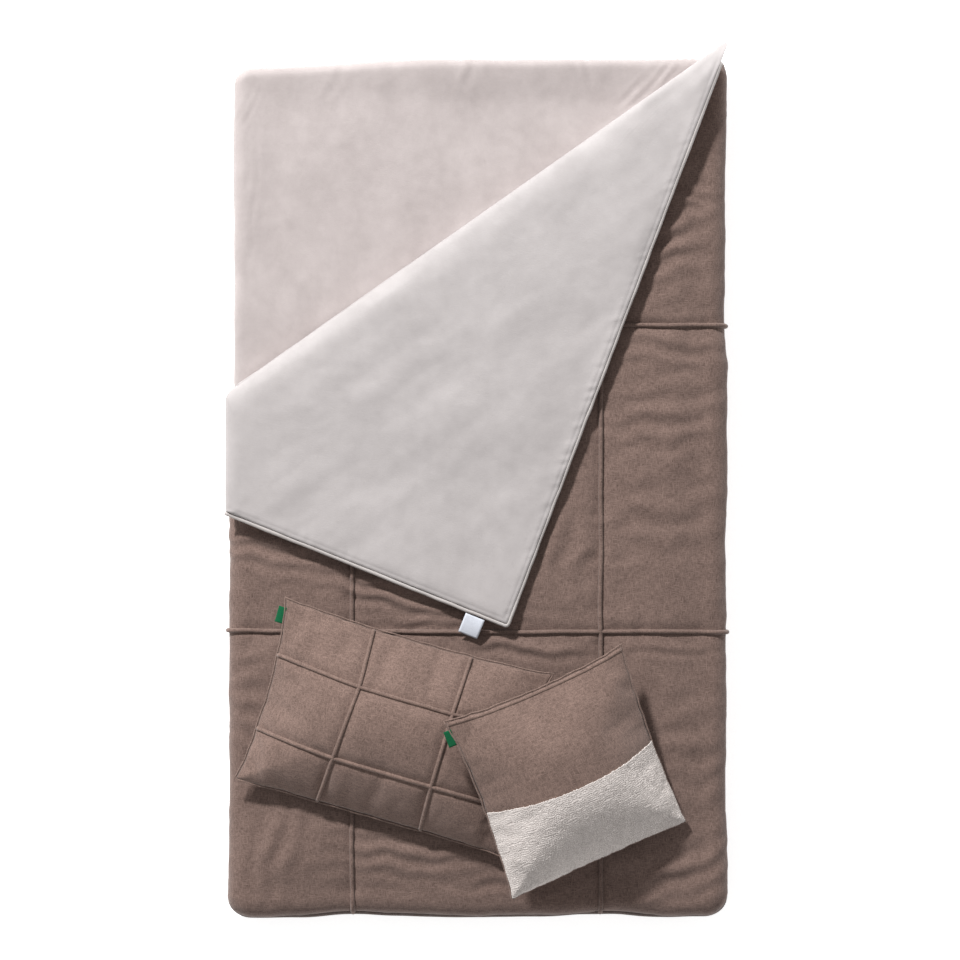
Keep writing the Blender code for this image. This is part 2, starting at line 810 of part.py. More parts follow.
def corner_tuck(name, start, end, parent=None):
    """A tuck on the corner, between two points of the closed plan."""
    first = Vector(in_crease(start))
    last = Vector(in_crease(end))
    return cord_bar(name, first, last, TUCK_Z - CREASE_Z, TUCK_CROSS_HEIGHT, WOOL, parent)


TUCK_END = 0.012
for x, name in zip(TUCK_ACROSS, ("corner_tuck_cord_left", "corner_tuck_cord_right")):
    corner_tuck(
        name, (x, crease_y(x) + TUCK_END), (x, HEAD_HEM - TUCK_END / 2), crease_axis
    )
CROSS_Y = TUCK_ALONG[1]
CROSS_X = CREASE_LEFT.x + (CROSS_Y - CREASE_LEFT.y) / math.tan(CREASE_ANGLE)
corner_tuck(
    "corner_tuck_cord_cross",
    (-COVER_HALF + GAP, CROSS_Y),
    (CROSS_X - TUCK_END, CROSS_Y),
    crease_axis,
)
FREE_X = FREE_CORNER.x + MARGIN_LEAN * (HEAD_HEM - CROSS_Y)
on_margin(
    corner_tuck(
        "margin_tuck_cord", (FREE_X + TUCK_END, CROSS_Y), (-COVER_HALF - GAP, CROSS_Y)
    )
)

# ---------------------------------------------------------------- care label

free_start = Vector(margin_line[2])
free_run = (Vector(margin_line[3]) - free_start).normalized()
label_out = Vector((free_run.y, -free_run.x))
label_hinge = free_start + free_run * LABEL_FROM_CORNER + label_out * HEM_PIPING_RADIUS
label_axis = bpy.data.objects.new("label_axis", None)
bpy.context.scene.collection.objects.link(label_axis)
label_axis.parent = margin_axis
label_axis.location = (*label_hinge, PIPING_W - (LINING_Z[0] - CREASE_Z))
label_axis.rotation_euler = (0.0, 0.0, math.atan2(free_run.y, free_run.x))
box(
    "care_label",
    (-LABEL_WIDTH / 2, -LABEL_LENGTH, -LABEL_THICKNESS / 2),
    (LABEL_WIDTH / 2, -LABEL_THICKNESS / 2, LABEL_THICKNESS / 2),
    LABEL_CLOTH,
    label_axis,
)

# ---------------------------------------------------------------- cushions


class Cushion:
    """A knife-edge cushion: seam outline pulled in between its corners, crowned above the
    seam and flattened below it where it rests."""

    def __init__(self, length, width, top, bottom):
        self.half = (length / 2, width / 2)
        self.top = top
        self.bottom = bottom

    def plan(self, u, v, inset=0.0):
        half_x = self.half[0] - inset
        half_y = self.half[1] - inset
        x = u * half_x * (1 - CUSHION_PULL_IN * (1 - v * v))
        y = v * half_y * (1 - CUSHION_PULL_IN * (1 - u * u))
        return x, y

    def upper(self, u, v, inset=0.0):
        swell = max(0.0, (1 - u * u) * (1 - v * v)) ** CUSHION_RISE
        return (self.top - inset) * swell

    def lower(self, u, v, inset=0.0):
        crown = (self.top - inset) * max(0.0, (1 - u * u) * (1 - v * v)) ** CUSHION_RISE
        return -min(crown, self.bottom - inset)


COLUMNS = 12
ROWS = 8


def spaced(low, high, count):
    """Values closer together towards plus and minus one, where the cushion curves most."""
    first = math.asin(low)
    last = math.asin(high)
    return [math.sin(first + (last - first) * step / count) for step in range(count + 1)]


def grid_body(name, upper, lower, finish, parent):
    """Closes two grids of equal size, one above the other, around their rims."""
    rows = len(upper)
    columns = len(upper[0])
    points = [point for grid in (upper, lower) for row in grid for point in row]
    size = rows * columns
    faces = []
    for row in range(rows - 1):
        for column in range(columns - 1):
            corner = row * columns + column
            quad = (corner, corner + 1, corner + 1 + columns, corner + columns)
            # Each quad is split along the diagonal that runs out to the nearest corner.
            along = (row < rows // 2) == (column < columns // 2)
            first = quad if along else quad[1:] + quad[:1]
            for triangle in ((first[0], first[1], first[2]), (first[0], first[2], first[3])):
                faces.append(triangle)
                faces.append(tuple(index + size for index in triangle))
    rim = list(range(columns))
    rim += [row * columns + columns - 1 for row in range(1, rows)]
    rim += [(rows - 1) * columns + column for column in range(columns - 2, -1, -1)]
    rim += [row * columns for row in range(rows - 2, 0, -1)]
    for index, here in enumerate(rim):
        beside = rim[(index + 1) % len(rim)]
        faces.append((here, beside, beside + size, here + size))
    return add_object(name, points, faces, finish, parent)


def cushion_grid(
    cushion, height, inset, low_v=-1.0, high_v=1.0, shift=0.0, rows=ROWS, drop=None
):
    drop = inset if drop is None else drop
    grid = []
    for v in spaced(low_v, high_v, rows):
        row = []
        for u in spaced(-1.0, 1.0, COLUMNS):
            row.append((*cushion.plan(u, v, inset), height(u, v, drop) + shift))
        grid.append(row)
    return grid


def cloth_side(name, cushion, height, shift, finish, parent, low_v=-1.0, high_v=1.0, rows=ROWS):
    """One side of a cushion's cover, from its outer face in to the fill."""
    outer = cushion_grid(cushion, height, 0.0, low_v, high_v, shift, rows)
    inner = cushion_grid(cushion, height, CUSHION_CLOTH, low_v, high_v, shift, rows)
    return grid_body(name, outer, inner, finish, parent)


def cushion_fill(name, cushion, parent):
    inset = CUSHION_CLOTH + CUSHION_SEAM
    drop = CUSHION_CLOTH + 2 * GAP
    upper = cushion_grid(cushion, cushion.upper, inset, shift=GAP)
    lower = cushion_grid(cushion, cushion.lower, inset, shift=-GAP, drop=drop)
    return grid_body(name, upper, lower, WADDING, parent)


def cushion_frame(name, place, turn, tilt=0.0, pitch=0.0):
    empty = bpy.data.objects.new(name, None)
    bpy.context.scene.collection.objects.link(empty)
    empty.location = place
    empty.rotation_euler = (pitch, tilt, turn)
    return empty


def edge_point(cushion, u, v, outset):
    """A point on the seam plane, outset beyond the cushion's edge."""
    x, y = cushion.plan(u, v)
    if abs(v) == 1.0:
        return x, y + math.copysign(outset, v), 0.0
    return x + math.copysign(outset, u), y, 0.0


ZIP_HALF = 0.62
ZIP_POINTS = 9


def cushion_zip(name, cushion, side, parent):
    """The closing zip's coil along one long edge."""
    points = []
    for step in range(ZIP_POINTS):
        u = -ZIP_HALF + 2 * ZIP_HALF * step / (ZIP_POINTS - 1)
        points.append(edge_point(cushion, u, side, ZIP_RADIUS + GAP))
    return tube(name, points, ZIP_RADIUS, BLACK_PLASTIC, parent=parent)


TAG_V = 0.82


def cushion_tag(name, cushion, parent):
    """A folded cloth tag at the left edge, near the upper corner."""
    middle = cushion.plan(-1.0, TAG_V)[1]
    upper_v = TAG_V + TAG_LENGTH / 2 / cushion.half[1]
    edge_x = edge_point(cushion, -1.0, upper_v, GAP)[0]
    empty = bpy.data.objects.new(name + "_axis", None)
    bpy.context.scene.collection.objects.link(empty)
    empty.parent = parent
    empty.location = (edge_x, middle, 0.0)
    return box(
        name,
        (-TAG_WIDTH, -TAG_LENGTH / 2, -TAG_THICKNESS / 2),
        (-TAG_THICKNESS / 2, TAG_LENGTH / 2, TAG_THICKNESS / 2),
        TAG_CLOTH,
        empty,
    )


# Both cushions lie below the label, clear of it and of the turned-back hem.
label_plan = Matrix.Rotation(CREASE_ANGLE, 2) @ Vector((label_hinge.x, -label_hinge.y)) + CREASE_LEFT
LONG_CUSHION_CENTRE = label_plan + Vector(LONG_CUSHION_FROM_LABEL)
SQUARE_CUSHION_CENTRE = LONG_CUSHION_CENTRE + Vector(SQUARE_CUSHION_FROM_LONG)

long_cushion = Cushion(
    LONG_CUSHION_LENGTH, LONG_CUSHION_WIDTH, LONG_CUSHION_TOP, LONG_CUSHION_BOTTOM
)
LONG_Z = TUCK_TOP + GAP + LONG_CUSHION_BOTTOM
long_frame = cushion_frame(
    "long_cushion_frame", (*LONG_CUSHION_CENTRE, LONG_Z), LONG_CUSHION_TURN
)
cushion_fill("long_cushion_fill", long_cushion, long_frame)
cloth_side(
    "long_cushion_front_cloth", long_cushion, long_cushion.upper, GAP / 2, WOOL, long_frame
)
cloth_side(
    "long_cushion_back_cloth", long_cushion, long_cushion.lower, -GAP / 2, WOOL, long_frame
)
cushion_zip("long_cushion_zip", long_cushion, -1.0, long_frame)
cushion_tag("long_cushion_tag", long_cushion, long_frame)

square_cushion = Cushion(
    SQUARE_CUSHION_SIDE, SQUARE_CUSHION_SIDE, SQUARE_CUSHION_TOP, SQUARE_CUSHION_BOTTOM
)


def long_cushion_top(x, y):
    """Height of the long cushion's upper face at a place in plan, or None beside it."""
    offset = Vector((x, y)) - LONG_CUSHION_CENTRE
    local = Matrix.Rotation(-LONG_CUSHION_TURN, 2) @ offset
    u = local.x / long_cushion.half[0]
    v = local.y / long_cushion.half[1]
    for _ in range(8):
        near = long_cushion.plan(u, v)
        u += (local.x - near[0]) / long_cushion.half[0]
        v += (local.y - near[1]) / long_cushion.half[1]
    if abs(u) > 1 or abs(v) > 1:
        return None
    return LONG_Z + GAP / 2 + long_cushion.upper(u, v)


def resting_height(cushion, centre, spin):
    """The lowest height at which the tilted cushion clears what lies under it."""
    needed = 0.0
    steps = 24
    for row in range(steps + 1):
        v = -1 + 2 * row / steps
        for column in range(steps + 1):
            u = -1 + 2 * column / steps
            local = Vector((*cushion.plan(u, v), cushion.lower(u, v) - GAP / 2))
            point = spin @ local
            under = long_cushion_top(centre[0] + point.x, centre[1] + point.y)
            if under is None:
                under = TUCK_TOP
            needed = max(needed, under + GAP - point.z)
    return needed


SQUARE_SPIN = (
    Matrix.Rotation(SQUARE_CUSHION_TURN, 3, "Z")
    @ Matrix.Rotation(SQUARE_CUSHION_TILT, 3, "Y")
    @ Matrix.Rotation(SQUARE_CUSHION_PITCH, 3, "X")
)
SQUARE_Z = resting_height(square_cushion, SQUARE_CUSHION_CENTRE, SQUARE_SPIN) - FACET_SETTLE
square_frame = cushion_frame(
    "square_cushion_frame",
    (*SQUARE_CUSHION_CENTRE, SQUARE_Z),
    SQUARE_CUSHION_TURN,
    SQUARE_CUSHION_TILT,
    SQUARE_CUSHION_PITCH,
)
cushion_fill("square_cushion_fill", square_cushion, square_frame)
cloth_side(
    "square_cushion_front_cloth",
    square_cushion,
    square_cushion.upper,
    GAP / 2,
    WOOL,
    square_frame,
    low_v=SQUARE_CUSHION_SPLIT,
    rows=ROWS // 2,
)
cloth_side(
    "square_cushion_front_boucle",
    square_cushion,
    square_cushion.upper,
    GAP / 2,
    BOUCLE,
    square_frame,
    high_v=SQUARE_CUSHION_SPLIT - 2 * GAP / SQUARE_CUSHION_SIDE,
    rows=ROWS // 2,
)
cloth_side(
    "square_cushion_back_cloth",
    square_cushion,
    square_cushion.lower,
    -GAP / 2,
    WOOL,
    square_frame,
)
cushion_zip("square_cushion_zip", square_cushion, 1.0, square_frame)
cushion_tag("square_cushion_tag", square_cushion, square_frame)
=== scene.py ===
"""Looks of the infrared sauna blanket: cloth, quilting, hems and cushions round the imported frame."""

import json
import math

import bmesh
import bpy
import numpy as np
from mathutils import Matrix, Vector
from mathutils.bvhtree import BVHTree


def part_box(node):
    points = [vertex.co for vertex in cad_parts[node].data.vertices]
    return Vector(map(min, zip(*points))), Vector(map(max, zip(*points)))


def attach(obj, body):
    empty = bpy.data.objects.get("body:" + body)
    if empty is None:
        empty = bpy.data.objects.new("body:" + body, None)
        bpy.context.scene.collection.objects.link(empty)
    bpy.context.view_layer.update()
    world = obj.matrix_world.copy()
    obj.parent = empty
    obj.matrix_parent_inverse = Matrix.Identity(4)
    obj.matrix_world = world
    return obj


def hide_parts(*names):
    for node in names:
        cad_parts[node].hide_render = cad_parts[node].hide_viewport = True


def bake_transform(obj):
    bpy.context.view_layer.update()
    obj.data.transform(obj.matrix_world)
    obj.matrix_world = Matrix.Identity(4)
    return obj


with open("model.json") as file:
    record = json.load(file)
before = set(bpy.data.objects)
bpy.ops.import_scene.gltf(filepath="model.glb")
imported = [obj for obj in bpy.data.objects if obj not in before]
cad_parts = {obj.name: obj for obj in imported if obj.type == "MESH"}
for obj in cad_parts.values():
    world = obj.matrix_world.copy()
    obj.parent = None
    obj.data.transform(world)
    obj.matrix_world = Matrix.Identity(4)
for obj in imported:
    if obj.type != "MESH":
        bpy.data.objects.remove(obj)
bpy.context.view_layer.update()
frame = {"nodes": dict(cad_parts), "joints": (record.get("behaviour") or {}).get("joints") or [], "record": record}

# ---------------------------------------------------------------- places read from the frame

JOINTS = {joint["name"]: joint for joint in frame["joints"]}
BASE_LOW, BASE_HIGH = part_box("base_top_cloth")
COVER_LOW, COVER_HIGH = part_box("cover_outer_cloth")
CORNER_LOW, CORNER_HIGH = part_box("corner_outer_cloth")
LINING_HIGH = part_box("corner_lining")[1]
MARGIN_LOW, MARGIN_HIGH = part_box("margin_outer_cloth")
BOXING_LOW, BOXING_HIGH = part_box("base_boxing")

CREASE = Vector(JOINTS["corner_fold"]["pos_m"])
CREASE_RUN = -Vector(JOINTS["corner_fold"]["axis"]).normalized()
CREASE_OUT = Vector((-CREASE_RUN.y, CREASE_RUN.x, 0.0))
MARGIN_RUN = -Vector(JOINTS["margin_droop"]["axis"]).normalized()
HEM_RUN = -Vector(JOINTS["label_swing"]["axis"]).normalized()

COVER_TOP = COVER_HIGH[2]
COVER_HEM = COVER_LOW[2]
BASE_TOP = BASE_HIGH[2]
FLAP_BOTTOM = CORNER_LOW[2]
FLAP_TOP = LINING_HIGH[2]

APEX = Vector((CORNER_HIGH[0] + 0.024, CORNER_HIGH[1] + 0.020))
LEFT_END = COVER_LOW[0] - 0.0045
FOLD_TURN = CREASE.xy + MARGIN_RUN.xy * ((MARGIN_HIGH[0] - CREASE.x) / MARGIN_RUN.x)
HEM_TIP = APEX + (FOLD_TURN - APEX) * ((MARGIN_LOW[1] - APEX.y) / (FOLD_TURN.y - APEX.y))
HEM_LEFT = HEM_TIP + HEM_RUN.xy * ((LEFT_END - HEM_TIP.x) / HEM_RUN.x)
FOLD_LEFT = CREASE.xy + CREASE_RUN.xy * ((LEFT_END - CREASE.x) / CREASE_RUN.x)

TUCK_LONG_X = (-0.2605, 0.2564)
TUCK_CROSS_Y = (-0.308, 0.329)

# ---------------------------------------------------------------- small tools


def smooth_step(value):
    value = np.clip(value, 0.0, 1.0)
    return value * value * (3 - 2 * value)


def cloth_noise(x, y, cell_x, cell_y, seed):
    """Smooth random heights from -1 to 1 on a lattice with the given cell size."""
    table = np.random.default_rng(seed).uniform(-1.0, 1.0, (97, 97))
    grid_x = np.asarray(x) / cell_x + 400.0
    grid_y = np.asarray(y) / cell_y + 400.0
    low_x = np.floor(grid_x).astype(int)
    low_y = np.floor(grid_y).astype(int)
    part_x = smooth_step(grid_x - low_x)
    part_y = smooth_step(grid_y - low_y)
    near = table[low_x % 97, low_y % 97] * (1 - part_x) + table[(low_x + 1) % 97, low_y % 97] * part_x
    far = (
        table[low_x % 97, (low_y + 1) % 97] * (1 - part_x)
        + table[(low_x + 1) % 97, (low_y + 1) % 97] * part_x
    )
    return near * (1 - part_y) + far * part_y


def bump_at(distance, width):
    return np.exp(-((distance / width) ** 2))


def make_piece(name, points, faces, finish):
    mesh = bpy.data.meshes.new(name)
    mesh.from_pydata(np.asarray(points).tolist(), [], faces)
    mesh.validate()
    mesh.materials.append(finish)
    mesh.shade_smooth()
    piece = bpy.data.objects.new(name, mesh)
    bpy.context.scene.collection.objects.link(piece)
    return piece


def grid_normals(grid):
    across = np.gradient(grid, axis=1)
    along = np.gradient(grid, axis=0)
    normals = np.cross(across, along)
    return normals / np.linalg.norm(normals, axis=2, keepdims=True)


def grid_faces(rows, columns, start=0, flip=False, wrap=False):
    faces = []
    for row in range(rows - 1):
        for column in range(columns if wrap else columns - 1):
            beside = (column + 1) % columns
            a = start + row * columns + column
            b = start + row * columns + beside
            face = (a, b, b + columns, a + columns)
            faces.append(face[::-1] if flip else face)
    return faces


def thick_grid(name, grid, thickness, finish):
    """A sheet with two faces and closed edges, from a grid of points on its outer face."""
    rows, columns = grid.shape[:2]
    inner = grid - grid_normals(grid) * thickness
    size = rows * columns
    faces = grid_faces(rows, columns) + grid_faces(rows, columns, size, flip=True)
    rim = list(range(columns))
    rim += [row * columns + columns - 1 for row in range(1, rows)]
    rim += [(rows - 1) * columns + column for column in range(columns - 2, -1, -1)]
    rim += [row * columns for row in range(rows - 2, 0, -1)]
    for index, here in enumerate(rim):
        beside = rim[(index + 1) % len(rim)]
        faces.append((beside, here, here + size, beside + size))
    points = np.concatenate([grid.reshape(-1, 3), inner.reshape(-1, 3)])
    return make_piece(name, points, faces, finish)


def swept(name, path, ups, sides, section, finish, closed=False):
    """A section of (across, up) pairs carried along a path with the given side and up vectors."""
    path = np.asarray(path, float)
    count = len(section)
    points = []
    for place, side, up in zip(path, sides, ups):
        for across, lift in section:
            points.append(place + side * across + up * lift)
    rows = len(path)
    faces = grid_faces(rows, count, wrap=True)
    if closed:
        last = (rows - 1) * count
        for index in range(count):
            beside = (index + 1) % count
            faces.append((last + index, last + beside, beside, index))
    else:
        faces.append(tuple(range(count))[::-1])
        faces.append(tuple(range((rows - 1) * count, rows * count)))
    return make_piece(name, points, faces, finish)


def round_section(radius, sides=12):
    return [
        (radius * math.cos(2 * math.pi * side / sides), radius * math.sin(2 * math.pi * side / sides))
        for side in range(sides)
    ]


def cord_along(name, path, radius, finish, closed=False, sides=12):
    """A round cord along a path, with its section kept upright."""
    path = np.asarray(path, float)
    if closed:
        run = np.roll(path, -1, axis=0) - np.roll(path, 1, axis=0)
    else:
        run = np.gradient(path, axis=0)
    run /= np.linalg.norm(run, axis=1, keepdims=True)
    side = np.cross(run, (0.0, 0.0, 1.0))
    side /= np.linalg.norm(side, axis=1, keepdims=True)
    up = np.cross(side, run)
    return swept(name, path, up, side, round_section(radius, sides), finish, closed)


# ---------------------------------------------------------------- materials


def linear(red, green, blue):
    """A screen colour from 0 to 255 as the linear colour a shader takes."""
    return tuple(
        value / 12.92 if value <= 0.04045 else ((value + 0.055) / 1.055) ** 2.4
        for value in (red / 255, green / 255, blue / 255)
    )


def new_group(name, sockets):
    group = bpy.data.node_groups.new(name, "ShaderNodeTree")
    for label, kind, way, value in sockets:
        socket = group.interface.new_socket(name=label, in_out=way, socket_type=kind)
        if value is not None:
            socket.default_value = value
    enter = group.nodes.new("NodeGroupInput")
    leave = group.nodes.new("NodeGroupOutput")
    return group, enter, leave


def noise_node(tree, coordinates, scale, detail=3.0, roughness=0.55, stretch=None):
    node = tree.nodes.new("ShaderNodeTexNoise")
    node.inputs["Scale"].default_value = scale
    node.inputs["Detail"].default_value = detail
    node.inputs["Roughness"].default_value = roughness
    if stretch is not None:
        mapping = tree.nodes.new("ShaderNodeMapping")
        mapping.inputs["Scale"].default_value = stretch
        tree.links.new(coordinates, mapping.inputs["Vector"])
        coordinates = mapping.outputs["Vector"]
    tree.links.new(coordinates, node.inputs["Vector"])
    return node.outputs["Fac"]


def math_node(tree, kind, first, second):
    node = tree.nodes.new("ShaderNodeMath")
    node.operation = kind
    for socket, value in zip(node.inputs, (first, second)):
        if isinstance(value, (int, float)):
            socket.default_value = value
        else:
            tree.links.new(value, socket)
    return node.outputs[0]


def remap(tree, value, low, high, to_low=0.0, to_high=1.0):
    node = tree.nodes.new("ShaderNodeMapRange")
    node.inputs["From Min"].default_value = low
    node.inputs["From Max"].default_value = high
    node.inputs["To Min"].default_value = to_low
    node.inputs["To Max"].default_value = to_high
    tree.links.new(value, node.inputs["Value"])
    return node.outputs["Result"]


def mix_colour(tree, share, first, second):
    node = tree.nodes.new("ShaderNodeMix")
    node.data_type = "RGBA"
    for socket, value in ((node.inputs[0], share), (node.inputs[6], first), (node.inputs[7], second)):
        if isinstance(value, (float, int)):
            socket.default_value = value
        elif isinstance(value, tuple):
            socket.default_value = (*value, 1.0)
        else:
            tree.links.new(value, socket)
    return node.outputs[2]


def yarn_group():
    """Crossed yarns of uneven thickness: how light each point is, and how high."""
    group, enter, leave = new_group(
        "crossed_yarns",
        (
            ("Coarseness", "NodeSocketFloat", "INPUT", 1.0),
            ("Lightness", "NodeSocketFloat", "OUTPUT", None),
            ("Height", "NodeSocketFloat", "OUTPUT", None),
        ),
    )
    place = group.nodes.new("ShaderNodeTexCoord").outputs["Object"]
    scaled = group.nodes.new("ShaderNodeVectorMath")
    scaled.operation = "SCALE"
    group.links.new(place, scaled.inputs[0])
    group.links.new(enter.outputs["Coarseness"], scaled.inputs["Scale"])
    spot = scaled.outputs[0]
    warp = noise_node(group, spot, 95.0, 2.0, 0.5, (1.0, 7.0, 4.0))
    weft = noise_node(group, spot, 95.0, 2.0, 0.5, (7.0, 1.0, 4.0))
    slub = noise_node(group, spot, 22.0, 3.0, 0.6)
    fuzz = noise_node(group, spot, 900.0, 2.0, 0.6)
    crossing = math_node(group, "MAXIMUM", warp, weft)
    weave_part = math_node(group, "MULTIPLY", crossing, 0.62)
    fuzz_part = math_node(group, "MULTIPLY", fuzz, 0.38)
    lightness = math_node(group, "ADD", weave_part, fuzz_part)
    tone = math_node(group, "ADD", lightness, math_node(group, "MULTIPLY", slub, 0.10))
    group.links.new(tone, leave.inputs["Lightness"])
    group.links.new(lightness, leave.inputs["Height"])
    return group


def mottle_group():
    """Slow uneven tone with faint fine threads, for smooth sateen."""
    group, enter, leave = new_group(
        "sateen_mottle",
        (
            ("Amount", "NodeSocketFloat", "INPUT", 1.0),
            ("Lightness", "NodeSocketFloat", "OUTPUT", None),
            ("Height", "NodeSocketFloat", "OUTPUT", None),
        ),
    )
    place = group.nodes.new("ShaderNodeTexCoord").outputs["Object"]
    slow = noise_node(group, place, 9.0, 5.0, 0.62)
    patches = noise_node(group, place, 38.0, 3.0, 0.6)
    threads = noise_node(group, place, 160.0, 2.0, 0.6, (1.0, 7.0, 3.0))
    slow_part = math_node(group, "MULTIPLY", slow, 0.6)
    patch_part = math_node(group, "MULTIPLY", patches, 0.28)
    tone = math_node(group, "ADD", slow_part, patch_part)
    tone = math_node(group, "ADD", tone, math_node(group, "MULTIPLY", threads, 0.12))
    tone = math_node(group, "SUBTRACT", tone, 0.5)
    tone = math_node(group, "MULTIPLY", tone, enter.outputs["Amount"])
    tone = math_node(group, "ADD", tone, 0.5)
    group.links.new(tone, leave.inputs["Lightness"])
    raised_patches = math_node(group, "MULTIPLY", patches, 0.6)
    raised = math_node(group, "ADD", threads, raised_patches)
    group.links.new(raised, leave.inputs["Height"])
    return group


YARNS = yarn_group()
MOTTLE = mottle_group()


def start_material(name, roughness, sheen=0.0, metallic=0.0, specular=0.3):
    made = bpy.data.materials.new(name)
    made.use_nodes = True
    shader = made.node_tree.nodes["Principled BSDF"]
    shader.inputs["Roughness"].default_value = roughness
    shader.inputs["Metallic"].default_value = metallic
    shader.inputs["Specular IOR Level"].default_value = specular
    shader.inputs["Sheen Weight"].default_value = sheen
    shader.inputs["Sheen Roughness"].default_value = 0.5
    return made, made.node_tree, shader


def add_bump(tree, shader, height, distance, strength=1.0):
    bump = tree.nodes.new("ShaderNodeBump")
    bump.inputs["Strength"].default_value = strength
    bump.inputs["Distance"].default_value = distance
    tree.links.new(height, bump.inputs["Height"])
    tree.links.new(bump.outputs["Normal"], shader.inputs["Normal"])


def woven_material(name, dark, light, coarseness=1.0, depth=0.0006, low=0.42, high=0.78, sheen=0.25):
    made, tree, shader = start_material(name, 0.92, sheen, specular=0.15)
    yarns = tree.nodes.new("ShaderNodeGroup")
    yarns.node_tree = YARNS
    yarns.inputs["Coarseness"].default_value = coarseness
    share = remap(tree, yarns.outputs["Lightness"], low, high)
    tree.links.new(mix_colour(tree, share, dark, light), shader.inputs["Base Color"])
    add_bump(tree, shader, yarns.outputs["Height"], depth)
    return made


def sateen_material(name, dark, light, amount=1.0, roughness=0.55, sheen=0.3):
    made, tree, shader = start_material(name, roughness, sheen, specular=0.25)
    mottle = tree.nodes.new("ShaderNodeGroup")
    mottle.node_tree = MOTTLE
    mottle.inputs["Amount"].default_value = amount
    share = remap(tree, mottle.outputs["Lightness"], 0.3, 0.7)
    tree.links.new(mix_colour(tree, share, dark, light), shader.inputs["Base Color"])
    rough = remap(tree, mottle.outputs["Lightness"], 0.3, 0.7, roughness + 0.08, roughness - 0.05)
    tree.links.new(rough, shader.inputs["Roughness"])
    add_bump(tree, shader, mottle.outputs["Height"], 0.0003)
    return made


def speckled_material(name, dark, light, scale, roughness, metallic=0.0, depth=0.0003, specular=0.4):
    made, tree, shader = start_material(name, roughness, 0.0, metallic, specular)
    place = tree.nodes.new("ShaderNodeTexCoord").outputs["Object"]
    grain = noise_node(tree, place, scale, 4.0, 0.6)
    tree.links.new(mix_colour(tree, remap(tree, grain, 0.35, 0.65), dark, light), shader.inputs["Base Color"])
    rough = remap(tree, grain, 0.3, 0.7, roughness * 0.85, min(1.0, roughness * 1.1))
    tree.links.new(rough, shader.inputs["Roughness"])
    add_bump(tree, shader, grain, depth)
    return made


WOOL = woven_material("brown_wool_cloth", linear(84, 67, 61), linear(140, 118, 109), low=0.42, high=0.70)
WOOL_CUSHION = woven_material(
    "brown_wool_cushion_cloth", linear(88, 71, 64), linear(150, 126, 116), low=0.42, high=0.70
)
LINING = sateen_material("flap_lining_sateen", linear(176, 170, 169), linear(194, 188, 187))
BASE_CLOTH = sateen_material("base_sateen", linear(175, 165, 163), linear(193, 183, 181), 1.4)
PIPING = sateen_material("hem_piping_cloth", linear(182, 174, 171), linear(202, 196, 193), 1.0, 0.6)
DARK_PIPING = woven_material("foot_piping_cloth", linear(120, 106, 100), linear(172, 160, 156))
BOUCLE = speckled_material(
    "cream_looped_pile", linear(200, 190, 185), linear(240, 232, 227), 420.0, 0.95, depth=0.0010, specular=0.1
)
LABEL = woven_material(
    "white_label_cloth", linear(206, 210, 220), linear(232, 235, 244), 1.6, 0.0002, sheen=0.1
)
TAG = woven_material("green_tag_cloth", linear(12, 78, 48), linear(22, 104, 66), 1.6, 0.0002, sheen=0.1)
FINISHES = {
    "wool_cloth": WOOL,
    "lining_cloth": LINING,
    "base_cloth": BASE_CLOTH,
    "looped_cloth": BOUCLE,
    "piping": PIPING,
    "wadding": speckled_material("white_wadding", linear(214, 214, 210), linear(238, 238, 235), 160.0, 0.95),
    "foam": speckled_material("open_cell_foam", linear(120, 120, 124), linear(150, 150, 154), 700.0, 0.9),
    "metallised_film": speckled_material(
        "metallised_film", linear(190, 190, 196), linear(214, 214, 220), 12.0, 0.25, 0.9
    ),
    "felt": speckled_material("carrier_felt", linear(70, 70, 74), linear(98, 98, 102), 260.0, 0.95),
    "wire_sleeve": speckled_material("wire_sleeve", linear(150, 40, 34), linear(176, 60, 50), 90.0, 0.45),
    "barrier": speckled_material("moisture_barrier", linear(58, 62, 68), linear(74, 78, 84), 60.0, 0.4),
    "black_plastic": speckled_material(
        "black_moulded_plastic", linear(28, 28, 30), linear(42, 42, 44), 900.0, 0.5
    ),
    "pin_metal": speckled_material(
        "plated_pin", linear(196, 178, 120), linear(222, 206, 150), 200.0, 0.3, 1.0
    ),
    "sensor_body": speckled_material(
        "ceramic_bead", linear(206, 200, 180), linear(224, 220, 204), 300.0, 0.55
    ),
    "label_cloth": LABEL,
    "tag_cloth": TAG,
}
SLOT_OF = {part["node"]: part["material_slot"] for part in frame["record"]["subparts"]}
for node, piece in frame["nodes"].items():
    piece.data.materials.clear()
    piece.data.materials.append(FINISHES[SLOT_OF[node]])

# ---------------------------------------------------------------- camera, light and floor

CAMERA_HEIGHT = 6.0
VIEW_WIDTH = 1.993
SENSOR = 36.0
camera_data = bpy.data.cameras.new("camera")
camera_data.sensor_width = SENSOR
camera_data.lens = SENSOR * CAMERA_HEIGHT / VIEW_WIDTH
camera_data.clip_end = 50.0
camera = bpy.data.objects.new("camera", camera_data)
bpy.context.scene.collection.objects.link(camera)
camera.location = (0.0052, 0.0073, COVER_TOP + CAMERA_HEIGHT)
bpy.context.scene.camera = camera

